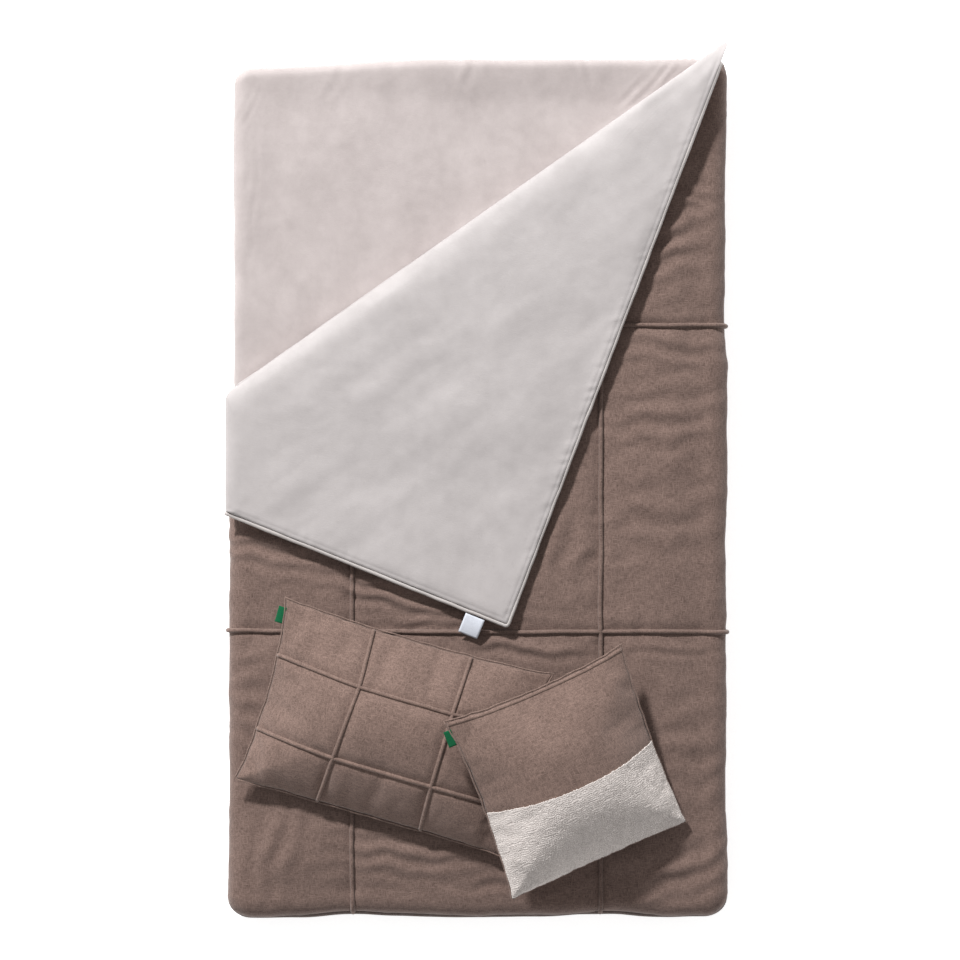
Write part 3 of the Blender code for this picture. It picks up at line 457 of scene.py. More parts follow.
KEY_TOWARDS = Vector((0.45, -0.893, 0.0))
KEY_ELEVATION = math.radians(36.0)
KEY_DISTANCE = 9.0
KEY_SIZE = 0.90
KEY_POWER = 1080.0
key_data = bpy.data.lights.new("key", "AREA")
key_data.energy = KEY_POWER
key_data.shape = "DISK"
key_data.size = KEY_SIZE
key = bpy.data.objects.new("key", key_data)
bpy.context.scene.collection.objects.link(key)
shine = KEY_TOWARDS * math.cos(KEY_ELEVATION) + Vector((0.0, 0.0, -math.sin(KEY_ELEVATION)))
key.rotation_euler = shine.to_track_quat("-Z", "Y").to_euler()
key.location = -shine * KEY_DISTANCE

world = bpy.data.worlds.new("studio")
world.use_nodes = True
world.node_tree.nodes["Background"].inputs["Color"].default_value = (1.0, 1.0, 1.0, 1.0)
world.node_tree.nodes["Background"].inputs["Strength"].default_value = 0.36
bpy.context.scene.world = world
bpy.context.scene.view_settings.view_transform = "Standard"

FLOOR_HALF = 6.0
floor_finish = speckled_material("pale_floor", (0.90, 0.90, 0.90), (0.91, 0.91, 0.91), 2.0, 0.9, depth=0.0001)
floor_shader = floor_finish.node_tree.nodes["Principled BSDF"]
floor_shader.inputs["Emission Color"].default_value = (1.0, 1.0, 1.0, 1.0)
floor_shader.inputs["Emission Strength"].default_value = 0.72
floor = make_piece(
    "floor",
    [
        (-FLOOR_HALF, -FLOOR_HALF, -0.0005),
        (FLOOR_HALF, -FLOOR_HALF, -0.0005),
        (FLOOR_HALF, FLOOR_HALF, -0.0005),
        (-FLOOR_HALF, FLOOR_HALF, -0.0005),
    ],
    [(0, 1, 2, 3)],
    floor_finish,
)

# ---------------------------------------------------------------- padded caps


class Cap:
    """A padded sheet that lies flat, rounds over its edges and hangs down its sides.
    Points are addressed as if the sheet were unrolled: p across, q along."""

    def __init__(self, low, high, top, bottom, edge, corner):
        self.low = low
        self.high = high
        self.top = top
        self.edge = edge
        self.inset = max(edge, corner)
        self.flat = self.inset - edge
        self.reach = self.flat + math.pi / 2 * edge + (top - edge - bottom)

    def place(self, p, q):
        """Points and outward normals of the undisturbed cap."""
        mid = np.stack([np.clip(p, self.low[0] + self.inset, self.high[0] - self.inset),
                        np.clip(q, self.low[1] + self.inset, self.high[1] - self.inset)], -1)
        over = np.stack([p, q], -1) - mid
        size = np.abs(over)
        turn = np.max(size, -1)
        ratio = np.divide(np.min(size, -1), turn, out=np.zeros_like(turn), where=turn > 1e-9)
        angle = math.pi / 4 * ratio
        main_x = size[..., 0] >= size[..., 1]
        way_x = np.where(main_x, np.cos(angle), np.sin(angle)) * np.sign(over[..., 0])
        way_y = np.where(main_x, np.sin(angle), np.cos(angle)) * np.sign(over[..., 1])
        bend = np.clip((turn - self.flat) / self.edge, 0.0, math.pi / 2)
        drop = np.clip(turn - self.flat - math.pi / 2 * self.edge, 0.0, None)
        out = np.minimum(turn, self.flat) + self.edge * np.sin(bend)
        height = self.top - self.edge * (1 - np.cos(bend)) - drop
        points = np.stack([mid[..., 0] + way_x * out, mid[..., 1] + way_y * out, height], -1)
        normals = np.stack([way_x * np.sin(bend), way_y * np.sin(bend), np.cos(bend)], -1)
        return points, normals

    def spans(self, spacing):
        """Unrolled grid lines across and along."""
        inner = self.inset
        left = self.low[0] + inner - self.reach
        right = self.high[0] - inner + self.reach
        foot = self.low[1] + inner - self.reach
        head = self.high[1] - inner + self.reach
        across = np.linspace(left, right, int((right - left) / spacing) + 1)
        along = np.linspace(foot, head, int((head - foot) / spacing) + 1)
        return across, along


def ripples(x, y, groups):
    """Short parallel waves, each group (x, y, half length, half width, wave, height, turn)."""
    height = np.zeros_like(x)
    for centre_x, centre_y, length, width, wave, tall, turn in groups:
        run = (x - centre_x) * math.cos(turn) + (y - centre_y) * math.sin(turn)
        rise = -(x - centre_x) * math.sin(turn) + (y - centre_y) * math.cos(turn)
        wander = 0.25 * wave * cloth_noise(run, rise, 0.05, 0.08, 11)
        fade = bump_at(run, length) * bump_at(rise, width)
        height += tall * fade * np.sin(2 * math.pi * (rise + wander) / wave)
    return height


# ---------------------------------------------------------------- base pad

BASE_EDGE = 0.020
BASE_CORNER = 0.034
HEAD_BOW = 0.020
PAD_SINK = 0.008


def bow_head(points):
    """The head edge is not sewn straight: it falls away towards the left corner."""
    head = smooth_step((points[..., 1] - 0.55) / 0.33)
    left = smooth_step((-points[..., 0] - 0.02) / 0.48)
    points[..., 1] -= HEAD_BOW * left * head
    return points


def swells(x, y, groups):
    """Broad soft rises, each (x, y, half length, half width, height, turn)."""
    height = np.zeros_like(x)
    for centre_x, centre_y, length, width, tall, turn in groups:
        run = (x - centre_x) * math.cos(turn) + (y - centre_y) * math.sin(turn)
        rise = -(x - centre_x) * math.sin(turn) + (y - centre_y) * math.cos(turn)
        height += tall * bump_at(run, length) * bump_at(rise, width)
    return height


BASE_SWELLS = (
    (-0.36, 0.72, 0.26, 0.16, 0.0050, 0.2),
    (0.20, 0.78, 0.22, 0.10, -0.0045, 0.1),
    (-0.10, 0.62, 0.20, 0.14, -0.0030, 0.6),
    (-0.40, 0.40, 0.10, 0.20, 0.0025, 0.0),
    (0.02, 0.84, 0.16, 0.04, 0.0020, 0.0),
)
BASE_CREASES = (
    (0.331, 0.806, 0.040, 0.026, 0.022, 0.0016, 0.84),
    (0.395, 0.848, 0.030, 0.026, 0.018, 0.0020, 0.95),
    (0.455, 0.868, 0.022, 0.026, 0.013, 0.0024, 0.95),
    (-0.02, 0.868, 0.050, 0.020, 0.035, 0.0010, 1.3),
    (0.22, 0.872, 0.050, 0.020, 0.030, 0.0012, 1.9),
    (-0.30, 0.860, 0.060, 0.020, 0.040, 0.0008, 1.2),
    (-0.470, 0.60, 0.16, 0.018, 0.020, 0.0007, 1.5),
    (-0.475, 0.80, 0.06, 0.020, 0.016, 0.0009, 1.2),
)


def base_surface(p, q):
    points, normals = base_cap.place(p, q)
    x = points[..., 0]
    y = points[..., 1]
    beyond = (x - CREASE.x) * CREASE_OUT.x + (y - CREASE.y) * CREASE_OUT.y
    free = smooth_step(beyond / 0.03 + 0.3)
    edge = np.minimum(BASE_HIGH[0] - np.abs(x), BASE_HIGH[1] - y)
    middle = smooth_step(edge / 0.10)
    slow = 0.0016 * cloth_noise(x, y, 0.16, 0.22, 21) + 0.0007 * cloth_noise(x, y, 0.05, 0.07, 22)
    fine = 0.00030 * cloth_noise(x, y, 0.016, 0.03, 23)
    lift = (slow + fine + swells(x, y, BASE_SWELLS) + ripples(x, y, BASE_CREASES)) * free
    points = points + normals * (lift - PAD_SINK * middle)[..., None]
    return bow_head(points)


base_cap = Cap(
    (BASE_LOW[0], BASE_LOW[1]),
    (BASE_HIGH[0], BASE_HIGH[1]),
    BASE_TOP,
    BASE_LOW[2],
    BASE_EDGE,
    BASE_CORNER,
)
across, along = base_cap.spans(0.006)
base_pad = thick_grid("base_pad_top_cloth", base_surface(*np.meshgrid(across, along)), 0.002, BASE_CLOTH)
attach(base_pad, "base")
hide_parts("base_top_cloth", "base_comfort_wadding", "base_foam_pad")


def base_outline(out, spacing=0.02):
    """Round the base's side, out beyond its straight outline."""
    radius = BASE_CORNER + 0.006
    corners = []
    for corner, (sign_x, sign_y) in enumerate(((1, 1), (-1, 1), (-1, -1), (1, -1))):
        centre_x = sign_x * (BASE_HIGH[0] - radius)
        centre_y = (BASE_HIGH[1] - radius) if sign_y > 0 else (BASE_LOW[1] + radius)
        for step in range(13):
            angle = math.pi / 2 * (corner + step / 12)
            reach = radius + out
            corners.append((centre_x + reach * math.cos(angle), centre_y + reach * math.sin(angle)))
    path = []
    for here, beside in zip(corners, corners[1:] + corners[:1]):
        steps = max(1, int(math.dist(here, beside) / spacing))
        for step in range(steps):
            path.append([here[k] + (beside[k] - here[k]) * step / steps for k in range(2)])
    return bow_head(np.array(path))


def at_height(plan, z):
    return np.column_stack([plan, np.full(len(plan), z)])


def rim_vectors(path):
    run = np.roll(path, -1, axis=0) - np.roll(path, 1, axis=0)
    run /= np.linalg.norm(run, axis=1, keepdims=True)
    side = np.cross(run, (0.0, 0.0, 1.0))
    return side, np.tile((0.0, 0.0, 1.0), (len(path), 1))


BOXING_SECTION = (
    (-0.0020, BOXING_LOW[2]),
    (-0.0004, BOXING_LOW[2]),
    (0.0002, BOXING_LOW[2] + 0.003),
    (0.0010, (BOXING_LOW[2] + BOXING_HIGH[2]) / 2),
    (0.0002, BOXING_HIGH[2] - 0.003),
    (-0.0004, BOXING_HIGH[2]),
    (-0.0020, BOXING_HIGH[2]),
)
boxing_path = at_height(base_outline(-0.003), 0.0)
boxing_side, boxing_up = rim_vectors(boxing_path)
base_boxing = swept(
    "base_boxing_band", boxing_path, boxing_up, boxing_side, BOXING_SECTION, WOOL, closed=True
)
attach(base_boxing, "base")
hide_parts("base_boxing")

underside_rim = base_outline(-0.0042)
rim_count = len(underside_rim)
underside = make_piece(
    "base_underside_panel",
    np.vstack([at_height(underside_rim, 0.0), at_height(underside_rim, 0.002)]),
    [
        tuple(range(rim_count))[::-1],
        tuple(range(rim_count, 2 * rim_count)),
        *[
            (index, (index + 1) % rim_count, (index + 1) % rim_count + rim_count, index + rim_count)
            for index in range(rim_count)
        ],
    ],
    WOOL,
)
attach(underside, "base")
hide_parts("base_underside_cloth")

base_piping = cord_along(
    "base_side_piping_cord", at_height(base_outline(-0.0008), BOXING_HIGH[2]), 0.0026, PIPING, closed=True
)
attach(base_piping, "base")
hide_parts("base_side_piping")

# ---------------------------------------------------------------- quilted cover

COVER_EDGE = 0.041
COVER_CORNER = 0.046
cover_cap = Cap(
    (COVER_LOW[0], COVER_LOW[1]),
    (COVER_HIGH[0], 2 * (BASE_LOW[1] + BASE_HIGH[1]) / 2 - COVER_LOW[1]),
    COVER_TOP,
    COVER_HEM,
    COVER_EDGE,
    COVER_CORNER,
)
COVER_RIPPLES = (
    (-0.42, -0.13, 0.10, 0.050, 0.036, 0.0040, -0.12),
    (-0.14, -0.225, 0.15, 0.042, 0.032, 0.0058, -0.22),
    (0.10, -0.345, 0.12, 0.024, 0.040, 0.0044, -0.10),
    (-0.05, -0.290, 0.16, 0.020, 0.030, 0.0024, 0.02),
    (0.36, 0.52, 0.10, 0.09, 0.050, 0.0050, 0.18),
    (0.42, 0.62, 0.06, 0.05, 0.030, 0.0030, -0.30),
    (0.40, 0.29, 0.09, 0.05, 0.044, 0.0034, -0.12),
    (0.39, 0.14, 0.10, 0.07, 0.050, 0.0030, 0.12),
    (0.38, -0.06, 0.11, 0.10, 0.070, 0.0028, 0.10),
    (0.17, -0.12, 0.08, 0.12, 0.060, 0.0030, 1.45),
    (0.43, -0.80, 0.10, 0.05, 0.045, 0.0038, 0.35),
    (-0.14, -0.77, 0.14, 0.045, 0.036, 0.0036, -0.06),
    (-0.42, -0.74, 0.10, 0.06, 0.050, 0.0034, 1.35),
    (0.08, -0.82, 0.12, 0.03, 0.034, 0.0026, 0.05),
    (0.40, -0.345, 0.09, 0.022, 0.030, 0.0024, 0.0),
    (0.45, -0.55, 0.06, 0.12, 0.060, 0.0024, 0.2),
    (-0.47, -0.46, 0.04, 0.14, 0.045, 0.0022, 0.1),
)
SHOULDER_WIDTH = 0.085
SHOULDER_DROP = 0.010


def tuck_distance(x, y):
    across_distance = np.min([np.abs(x - line) for line in TUCK_LONG_X], axis=0)
    along_distance = np.min([np.abs(y - line) for line in TUCK_CROSS_Y], axis=0)
    return across_distance, along_distance


def cover_lift(x, y):
    """How far the quilted cloth stands above or below its plain shape."""
    across_distance, along_distance = tuck_distance(x, y)
    near = np.minimum(across_distance, along_distance)
    sink = -0.0042 * bump_at(near, 0.012)
    swell = 0.0022 * smooth_step(near / 0.09)
    pull_across = 0.0019 * cloth_noise(x, y, 0.060, 0.020, 31) * bump_at(across_distance, 0.06)
    pull_along = 0.0019 * cloth_noise(x, y, 0.020, 0.060, 32) * bump_at(along_distance, 0.06)
    slow = 0.0028 * cloth_noise(x, y, 0.11, 0.13, 33) + 0.0015 * cloth_noise(x, y, 0.045, 0.04, 34)
    fine = 0.0006 * cloth_noise(x, y, 0.016, 0.011, 35)
    side = COVER_HIGH[0] - COVER_EDGE - np.abs(x)
    foot = y - COVER_LOW[1] - COVER_EDGE
    inward = np.clip(np.minimum(side, foot), -COVER_EDGE * 1.5, None)
    over = 1 - smooth_step(np.clip(inward, 0.0, None) / SHOULDER_WIDTH)
    fade = smooth_step(1 + inward / (COVER_EDGE * 1.5))
    shoulder = -SHOULDER_DROP * over * fade
    rough = sink + swell + pull_across + pull_along + slow + fine + ripples(x, y, COVER_RIPPLES)
    rough = np.where(rough < 0, rough * smooth_step(1 + inward / COVER_EDGE), rough)
    return rough + shoulder


def cover_warp(points):
    """The foot hem is drawn in at each tuck and swings out between them."""
    x = points[..., 0]
    y = points[..., 1]
    foot = smooth_step((COVER_LOW[1] + 0.16 - y) / 0.14)
    draw = sum(bump_at(x - line, 0.075) for line in TUCK_LONG_X)
    swing = 0.003 * cloth_noise(x, x * 0, 0.17, 1.0, 41) + 0.0012 * cloth_noise(x, x * 0, 0.05, 1.0, 44)
    points[..., 1] += foot * (0.0070 * draw - 0.0100 + swing)
    side = smooth_step((np.abs(x) - 0.42) / 0.09) * np.sign(x)
    wave = 0.003 * cloth_noise(y, y * 0, 0.20, 1.0, 42) + 0.0012 * cloth_noise(y, y * 0, 0.07, 1.0, 43)
    points[..., 0] += side * wave
    return points


def cover_surface(p, q, lift=0.0):
    points, normals = cover_cap.place(p, q)
    height = cover_lift(p, q) + lift
    return cover_warp(points + normals * np.asarray(height)[..., None]), normals


def cut_along_crease(piece, offset):
    """Keeps what lies on the foot side of the crease, moved out by offset, and closes the cut."""
    mesh = bmesh.new()
    mesh.from_mesh(piece.data)
    place = CREASE + CREASE_OUT * offset
    geometry = mesh.verts[:] + mesh.edges[:] + mesh.faces[:]
    cut = bmesh.ops.bisect_plane(
        mesh, geom=geometry, dist=1e-6, plane_co=place, plane_no=CREASE_OUT, clear_outer=True
    )
    edges = [item for item in cut["geom_cut"] if isinstance(item, bmesh.types.BMEdge)]
    bmesh.ops.edgenet_fill(mesh, edges=edges)
    mesh.to_mesh(piece.data)
    mesh.free()


across, along = cover_cap.spans(0.0055)
cover = thick_grid("cover_quilted_cloth", cover_surface(*np.meshgrid(across, along))[0], 0.004, WOOL)
cut_along_crease(cover, -0.001)
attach(cover, "base")
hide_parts("cover_outer_cloth", "cover_wadding")

TUCK_SECTION = (
    (-0.0066, -0.0030),
    (-0.0047, 0.0002),
    (-0.0045, 0.0034),
    (-0.0034, 0.0060),
    (-0.0012, 0.0072),
    (0.0012, 0.0072),
    (0.0034, 0.0060),
    (0.0045, 0.0034),
    (0.0047, 0.0002),
    (0.0066, -0.0030),
)


def cover_tuck(name, start, end, seed, spacing=0.006):
    """A corded tuck stitched along a line of the cover, in unrolled coordinates."""
    start = np.array(start)
    end = np.array(end)
    length = np.linalg.norm(end - start)
    run = (end - start) / length
    side = np.array((run[1], -run[0]))
    steps = np.linspace(0.0, length, int(length / spacing) + 1)
    wander = 0.0012 * cloth_noise(steps, steps * 0, 0.06, 1.0, seed) + 0.0018 * cloth_noise(
        steps, steps * 0, 0.22, 1.0, seed + 1
    )
    thick = 1.0 + 0.10 * cloth_noise(steps, steps * 0, 0.03, 1.0, seed + 2)
    rows = []
    for across_by, up in TUCK_SECTION:
        p = start[0] + run[0] * steps + side[0] * (across_by + wander)
        q = start[1] + run[1] * steps + side[1] * (across_by + wander)
        centre_p = start[0] + run[0] * steps + side[0] * wander
        centre_q = start[1] + run[1] * steps + side[1] * wander
        points, normals = cover_cap.place(p, q)
        height = cover_lift(centre_p, centre_q) + np.asarray(up * thick)
        rows.append(cover_warp(points + normals * height[..., None]))
    grid = np.stack(rows, axis=1)
    count = len(TUCK_SECTION)
    faces = grid_faces(len(steps), count, wrap=True)
    faces.append(tuple(range(count))[::-1])
    faces.append(tuple(range((len(steps) - 1) * count, len(steps) * count)))
    return make_piece(name, grid.reshape(-1, 3), faces, WOOL)


def crease_q(p):
    return CREASE.y + (p - CREASE.x) * CREASE_RUN.y / CREASE_RUN.x


def crease_p(q):
    return CREASE.x + (q - CREASE.y) * CREASE_RUN.x / CREASE_RUN.y


side_reach = COVER_HIGH[0] - cover_cap.inset + cover_cap.reach - 0.003
foot_reach = COVER_LOW[1] + cover_cap.inset - cover_cap.reach + 0.003
tucks = []
for number, line in enumerate(TUCK_CROSS_Y):
    start = (max(-side_reach, crease_p(line) - 0.02), line)
    tucks.append(cover_tuck(f"cover_cross_tuck_{number + 1}", start, (side_reach, line), 51 + 5 * number))
for number, line in enumerate(TUCK_LONG_X):
    head = (line, crease_q(line) + 0.02)
    tucks.append(cover_tuck(f"cover_long_tuck_{number + 1}", (line, foot_reach), head, 71 + 5 * number))
for tuck in tucks:
    cut_along_crease(tuck, -0.001)
    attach(tuck, "base")
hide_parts("cover_tuck_cords")

# ---------------------------------------------------------------- hem of the cover

HEM_RADIUS = 0.0036
HEM_OUT = 0.0045


def hem_line():
    """Round the lower edge of the skirt from the crease's left end to the apex's side."""
    inset = cover_cap.inset
    left = COVER_LOW[0]
    right = COVER_HIGH[0]
    foot = COVER_LOW[1]
    points = [(left, y) for y in np.arange(CREASE.y - 0.004, foot + inset, -0.01)]
    for step in range(17):
        angle = math.pi + math.pi / 2 * step / 16
        points.append((left + inset + inset * math.cos(angle), foot + inset + inset * math.sin(angle)))
    points += [(x, foot) for x in np.arange(left + inset + 0.01, right - inset, 0.01)]
    for step in range(17):
        angle = -math.pi / 2 + math.pi / 2 * step / 16
        points.append((right - inset + inset * math.cos(angle), foot + inset + inset * math.sin(angle)))
    points += [(right, y) for y in np.arange(foot + inset + 0.01, BASE_HIGH[1] - 0.05, 0.01)]
    return np.array(points)


def hem_path(out, z):
    plan = hem_line()
    run = np.gradient(plan, axis=0)
    run /= np.linalg.norm(run, axis=1, keepdims=True)
    outward = np.stack([run[:, 1], -run[:, 0]], -1)
    foot = smooth_step((COVER_LOW[1] + 0.06 - plan[:, 1]) / 0.05)
    moved = plan + outward * (out * foot + (1 - foot) * -0.003)[:, None]
    points = np.column_stack([moved, np.full(len(moved), z)])
    return cover_warp(points)


cover_piping = cord_along(
    "cover_hem_piping_cord", hem_path(HEM_OUT, COVER_HEM + 0.004), HEM_RADIUS, DARK_PIPING
)
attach(cover_piping, "base")
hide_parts("cover_hem_piping")

# ---------------------------------------------------------------- turned-back corner


def rounded_outline(corners, radii, spacing):
    """A counter-clockwise outline with rounded corners, as evenly spaced points."""
    points = []
    count = len(corners)
    for index, corner in enumerate(corners):
        before = (Vector(corners[index - 1]) - Vector(corner)).normalized()
        after = (Vector(corners[(index + 1) % count]) - Vector(corner)).normalized()
        half = before.angle(after) / 2
        reach = radii[index] / math.tan(half)
        centre = Vector(corner) + (before + after).normalized() * radii[index] / math.sin(half)
        first = Vector(corner) + before * reach - centre
        last = Vector(corner) + after * reach - centre
        sweep = first.angle_signed(last)
        steps = max(3, int(abs(sweep) * radii[index] / spacing * 2))
        for step in range(steps + 1):
            turned = Matrix.Rotation(-sweep * step / steps, 2) @ first
            points.append(centre + turned)
    loop = np.array([tuple(point) for point in points])
    closed = np.vstack([loop, loop[:1]])
    lengths = np.concatenate([[0.0], np.cumsum(np.linalg.norm(np.diff(closed, axis=0), axis=1))])
    samples = np.linspace(0.0, lengths[-1], int(lengths[-1] / spacing), endpoint=False)
    return np.column_stack([np.interp(samples, lengths, closed[:, k]) for k in range(2)])


def edge_distance(x, y, start, end):
    """Distance inwards from the line of one edge of a counter-clockwise outline."""
    run = (Vector(end) - Vector(start)).normalized()
    return (x - start[0]) * -run.y + (y - start[1]) * run.x


def outline_distance(points, loop):
    """Distance from each point to the nearest stretch of the loop."""
    nearest = np.full(len(points), 9.0)
    for start, end in zip(loop, np.roll(loop, -1, axis=0)):
        run = end - start
        share = np.clip(((points - start) @ run) / (run @ run), 0.0, 1.0)
        gap = np.linalg.norm(points - start - share[:, None] * run, axis=1)
        nearest = np.minimum(nearest, gap)
    return nearest


def quarter(distance, radius):
    """Height share of a rounded edge: 0 at the edge, 1 where the flat begins."""
    share = np.clip(distance / radius, 0.0, 1.0)
    return np.sqrt(1 - (1 - share) ** 2)


HEM_INSET = 0.0060
HEAD_HEM_INSET = 0.0036
FLAP = (APEX, FOLD_LEFT, HEM_LEFT, HEM_TIP)
FLAP_CENTRE = np.array((-0.10, 0.23))
RING_STEPS = (
    0.0, 0.0004, 0.0011, 0.0022, 0.0037, 0.0055, 0.0076, 0.010,
    0.013, 0.0165, 0.0205, 0.025, 0.030, 0.0355, 0.0415, 0.048,
)
RING_SPACING = 0.007
SLANT_SPREAD = 6
SLANT_PASSES = 8
FLAP_REACH = 0.30


def inset_corners(corners, insets):
    moved = []
    count = len(corners)
    for index in range(count):
        lines = []
        for edge in (index - 1, index):
            start = Vector(corners[edge])
            run = (Vector(corners[(edge + 1) % count]) - start).normalized()
            lines.append((start + Vector((-run.y, run.x)) * insets[edge], run))
        (first, run), (second, other) = lines
        turn = run.x * other.y - run.y * other.x
        reach = ((second.x - first.x) * other.y - (second.y - first.y) * other.x) / turn
        moved.append(first + run * reach)
    return moved


def star_rings(loop):
    """Rings of points from the outline in to the middle, evenly deep near the edge."""
    run = np.roll(loop, -1, axis=0) - np.roll(loop, 1, axis=0)
    run /= np.linalg.norm(run, axis=1, keepdims=True)
    inward = np.stack([-run[:, 1], run[:, 0]], -1)
    ray = FLAP_CENTRE - loop
    length = np.linalg.norm(ray, axis=1)
    ray /= length[:, None]
    slant = (ray * inward).sum(1)
    spread = range(-SLANT_SPREAD, SLANT_SPREAD + 1)
    slant = np.min([np.roll(slant, shift) for shift in spread], axis=0)
    for _ in range(SLANT_PASSES):
        slant = (np.roll(slant, 1) + 2 * slant + np.roll(slant, -1)) / 4
    rings = [loop + ray * (depth / slant)[:, None] for depth in RING_STEPS]
    edge = RING_STEPS[-1] / slant
    count = int(FLAP_REACH / RING_SPACING)
    for step in range(1, count):
        reach = edge + (length - edge) * step / count
        rings.append(loop + ray * reach[:, None])
    return np.stack(rings)


def flap_side(name, loop, height, thickness, finish, upward):
    """One face of the turned-back corner: a closed sheet over the outline."""
    rings = star_rings(loop)
    x = rings[..., 0]
    y = rings[..., 1]
    depth = outline_distance(rings.reshape(-1, 2), loop).reshape(x.shape)
    z = height(x, y, depth)
    outer = np.stack([x, y, z], -1)
    toward = -1.0 if upward else 1.0
    shrink = np.clip(depth / thickness, 0.0, 1.0)
    inner = outer.copy()
    inner[..., 2] += toward * thickness * shrink
    rows, columns = x.shape
    size = rows * columns
    faces = grid_faces(rows, columns, wrap=True, flip=not upward)
    middle = tuple(range((rows - 1) * columns, rows * columns))
    faces.append(middle if upward else middle[::-1])
    inner_rows = inner[1:]
    points = np.concatenate([outer.reshape(-1, 3), inner_rows.reshape(-1, 3)])
    faces += grid_faces(rows - 1, columns, size, flip=upward, wrap=True)
    lower_middle = tuple(range(size + (rows - 2) * columns, size + (rows - 1) * columns))
    faces.append(lower_middle[::-1] if upward else lower_middle)
    for column in range(columns):
        beside = (column + 1) % columns
        face = (column, beside, size + beside, size + column)
        faces.append(face[::-1] if upward else face)
    return make_piece(name, points, faces, finish)


def hem_share(x, y, loop_corners):
    """Distances inwards from the crease, the left end, the long hem and the head hem."""
    from_crease = edge_distance(x, y, loop_corners[0], loop_corners[1])
    from_left = edge_distance(x, y, loop_corners[1], loop_corners[2])
    from_long = edge_distance(x, y, loop_corners[2], loop_corners[3])
    from_head = edge_distance(x, y, loop_corners[3], loop_corners[0])
    return from_crease, from_left, from_long, from_head


LINING_CORNERS = inset_corners(FLAP, (-0.0045, 0.0, HEM_INSET, HEAD_HEM_INSET))
CREASE_ROUND = 0.070
LEFT_ROUND = 0.030
HEM_ROUND = 0.014
CREASE_LOW = CREASE.z + 0.0110


FLAP_SWELLS = (
    (-0.171, 0.381, 0.13, 0.060, 0.0060, -0.96),
    (0.296, 0.585, 0.13, 0.055, 0.0050, -1.05),
    (-0.33, 0.19, 0.13, 0.09, 0.0030, -0.5),
    (0.06, 0.13, 0.20, 0.10, 0.0030, -1.2),
    (-0.20, 0.05, 0.14, 0.07, -0.0020, -0.4),
    (0.40, 0.76, 0.05, 0.10, -0.0040, 0.6),
)
RIDGE_RISE = 0.002
HEM_FALL = 0.009
HEM_HEIGHT = FLAP_TOP - 0.0055


def flap_fall(x, y):
    """How far the padding has sunk from the ridge beside the crease down to the hems."""
    from_crease = edge_distance(x, y, LINING_CORNERS[0], LINING_CORNERS[1])
    return HEM_FALL * smooth_step((from_crease - 0.05) / 0.55)


def left_sag(x):
    return 0.006 * smooth_step((LEFT_END + 0.10 - x) / 0.10)


def lining_height(x, y, depth):
    from_crease, from_left, from_long, from_head = hem_share(x, y, LINING_CORNERS)
    hem = np.minimum(from_long, from_head)
    top = FLAP_TOP + RIDGE_RISE - flap_fall(x, y)
    edge = HEM_HEIGHT + 0.0034 - flap_fall(x, y) - left_sag(x)
    crease_drop = (top - CREASE_LOW) * (1 - quarter(np.maximum(from_crease, depth * 0.999), CREASE_ROUND))
    left_drop = (top - CREASE_LOW) * (1 - quarter(np.maximum(from_left, depth * 0.999), LEFT_ROUND))
    hem_drop = (top - edge) * (1 - quarter(hem, HEM_ROUND))
    slow = 0.0022 * cloth_noise(x, y, 0.17, 0.15, 61) + 0.0010 * cloth_noise(x, y, 0.06, 0.055, 62)
    fine = 0.00028 * cloth_noise(x, y, 0.018, 0.016, 63)
    run = x * CREASE_RUN.x + y * CREASE_RUN.y
    across_by = x * CREASE_OUT.x + y * CREASE_OUT.y
    along_hem = np.where(from_head < from_long, y, x)
    taut = 0.6 + 0.8 * bump_at(y - 0.05, 0.28) * (from_head < from_long)
    pucker = 0.0011 * taut * cloth_noise(along_hem, hem, 0.010, 0.05, 64) * bump_at(hem - 0.010, 0.011)
    stitch = -0.0009 * bump_at(hem - 0.0085, 0.0022)
    apex_range = np.hypot(x - APEX.x, y - APEX.y)
    bearing = np.arctan2(y - APEX.y - 0.03, x - APEX.x - 0.03)
    gathers = 0.0018 * np.sin(bearing * 22.0) * np.exp(-apex_range / 0.07)
    drag = 0.0010 * cloth_noise(run, across_by, 0.30, 0.035, 65)
    inside = smooth_step(depth / 0.030)
    lift = (slow + fine + gathers + drag + swells(x, y, FLAP_SWELLS)) * inside
    lift += (pucker + stitch) * smooth_step(depth / 0.004)
    return top - np.maximum(np.maximum(crease_drop, left_drop), hem_drop) + lift


lining_loop = rounded_outline(LINING_CORNERS, (0.005, 0.042, 0.008, 0.004), 0.0042)
flap_lining = flap_side("corner_lining_cloth", lining_loop, lining_height, 0.0025, LINING, True)

CLOTH_CORNERS = inset_corners(FLAP, (0.0030, 0.0030, HEM_INSET, HEM_INSET))


def cloth_height(x, y, depth):
    _, _, from_long, from_head = hem_share(x, y, CLOTH_CORNERS)
    hem = np.minimum(from_long, from_head)
    edge = HEM_HEIGHT - 0.0018 - flap_fall(x, y) - left_sag(x)
    rise = (edge - FLAP_BOTTOM) * (1 - quarter(hem, HEM_ROUND))
    inside = smooth_step(depth / 0.012)
    slow = 0.0012 * cloth_noise(x, y, 0.12, 0.11, 66) + 0.0006 * cloth_noise(x, y, 0.04, 0.045, 67)
    return FLAP_BOTTOM + 0.001 + rise + slow * inside


cloth_loop = rounded_outline(CLOTH_CORNERS, (0.006, 0.038, 0.006, 0.005), 0.0045)
flap_cloth = flap_side("corner_outer_wool", cloth_loop, cloth_height, 0.0025, WOOL, False)

PIPING_RADIUS = 0.0043
PIPING_INSET = 0.0022
PIPING_STOP = 0.048
piping_corners = inset_corners(FLAP, (0.0, 0.0, PIPING_INSET, PIPING_INSET))


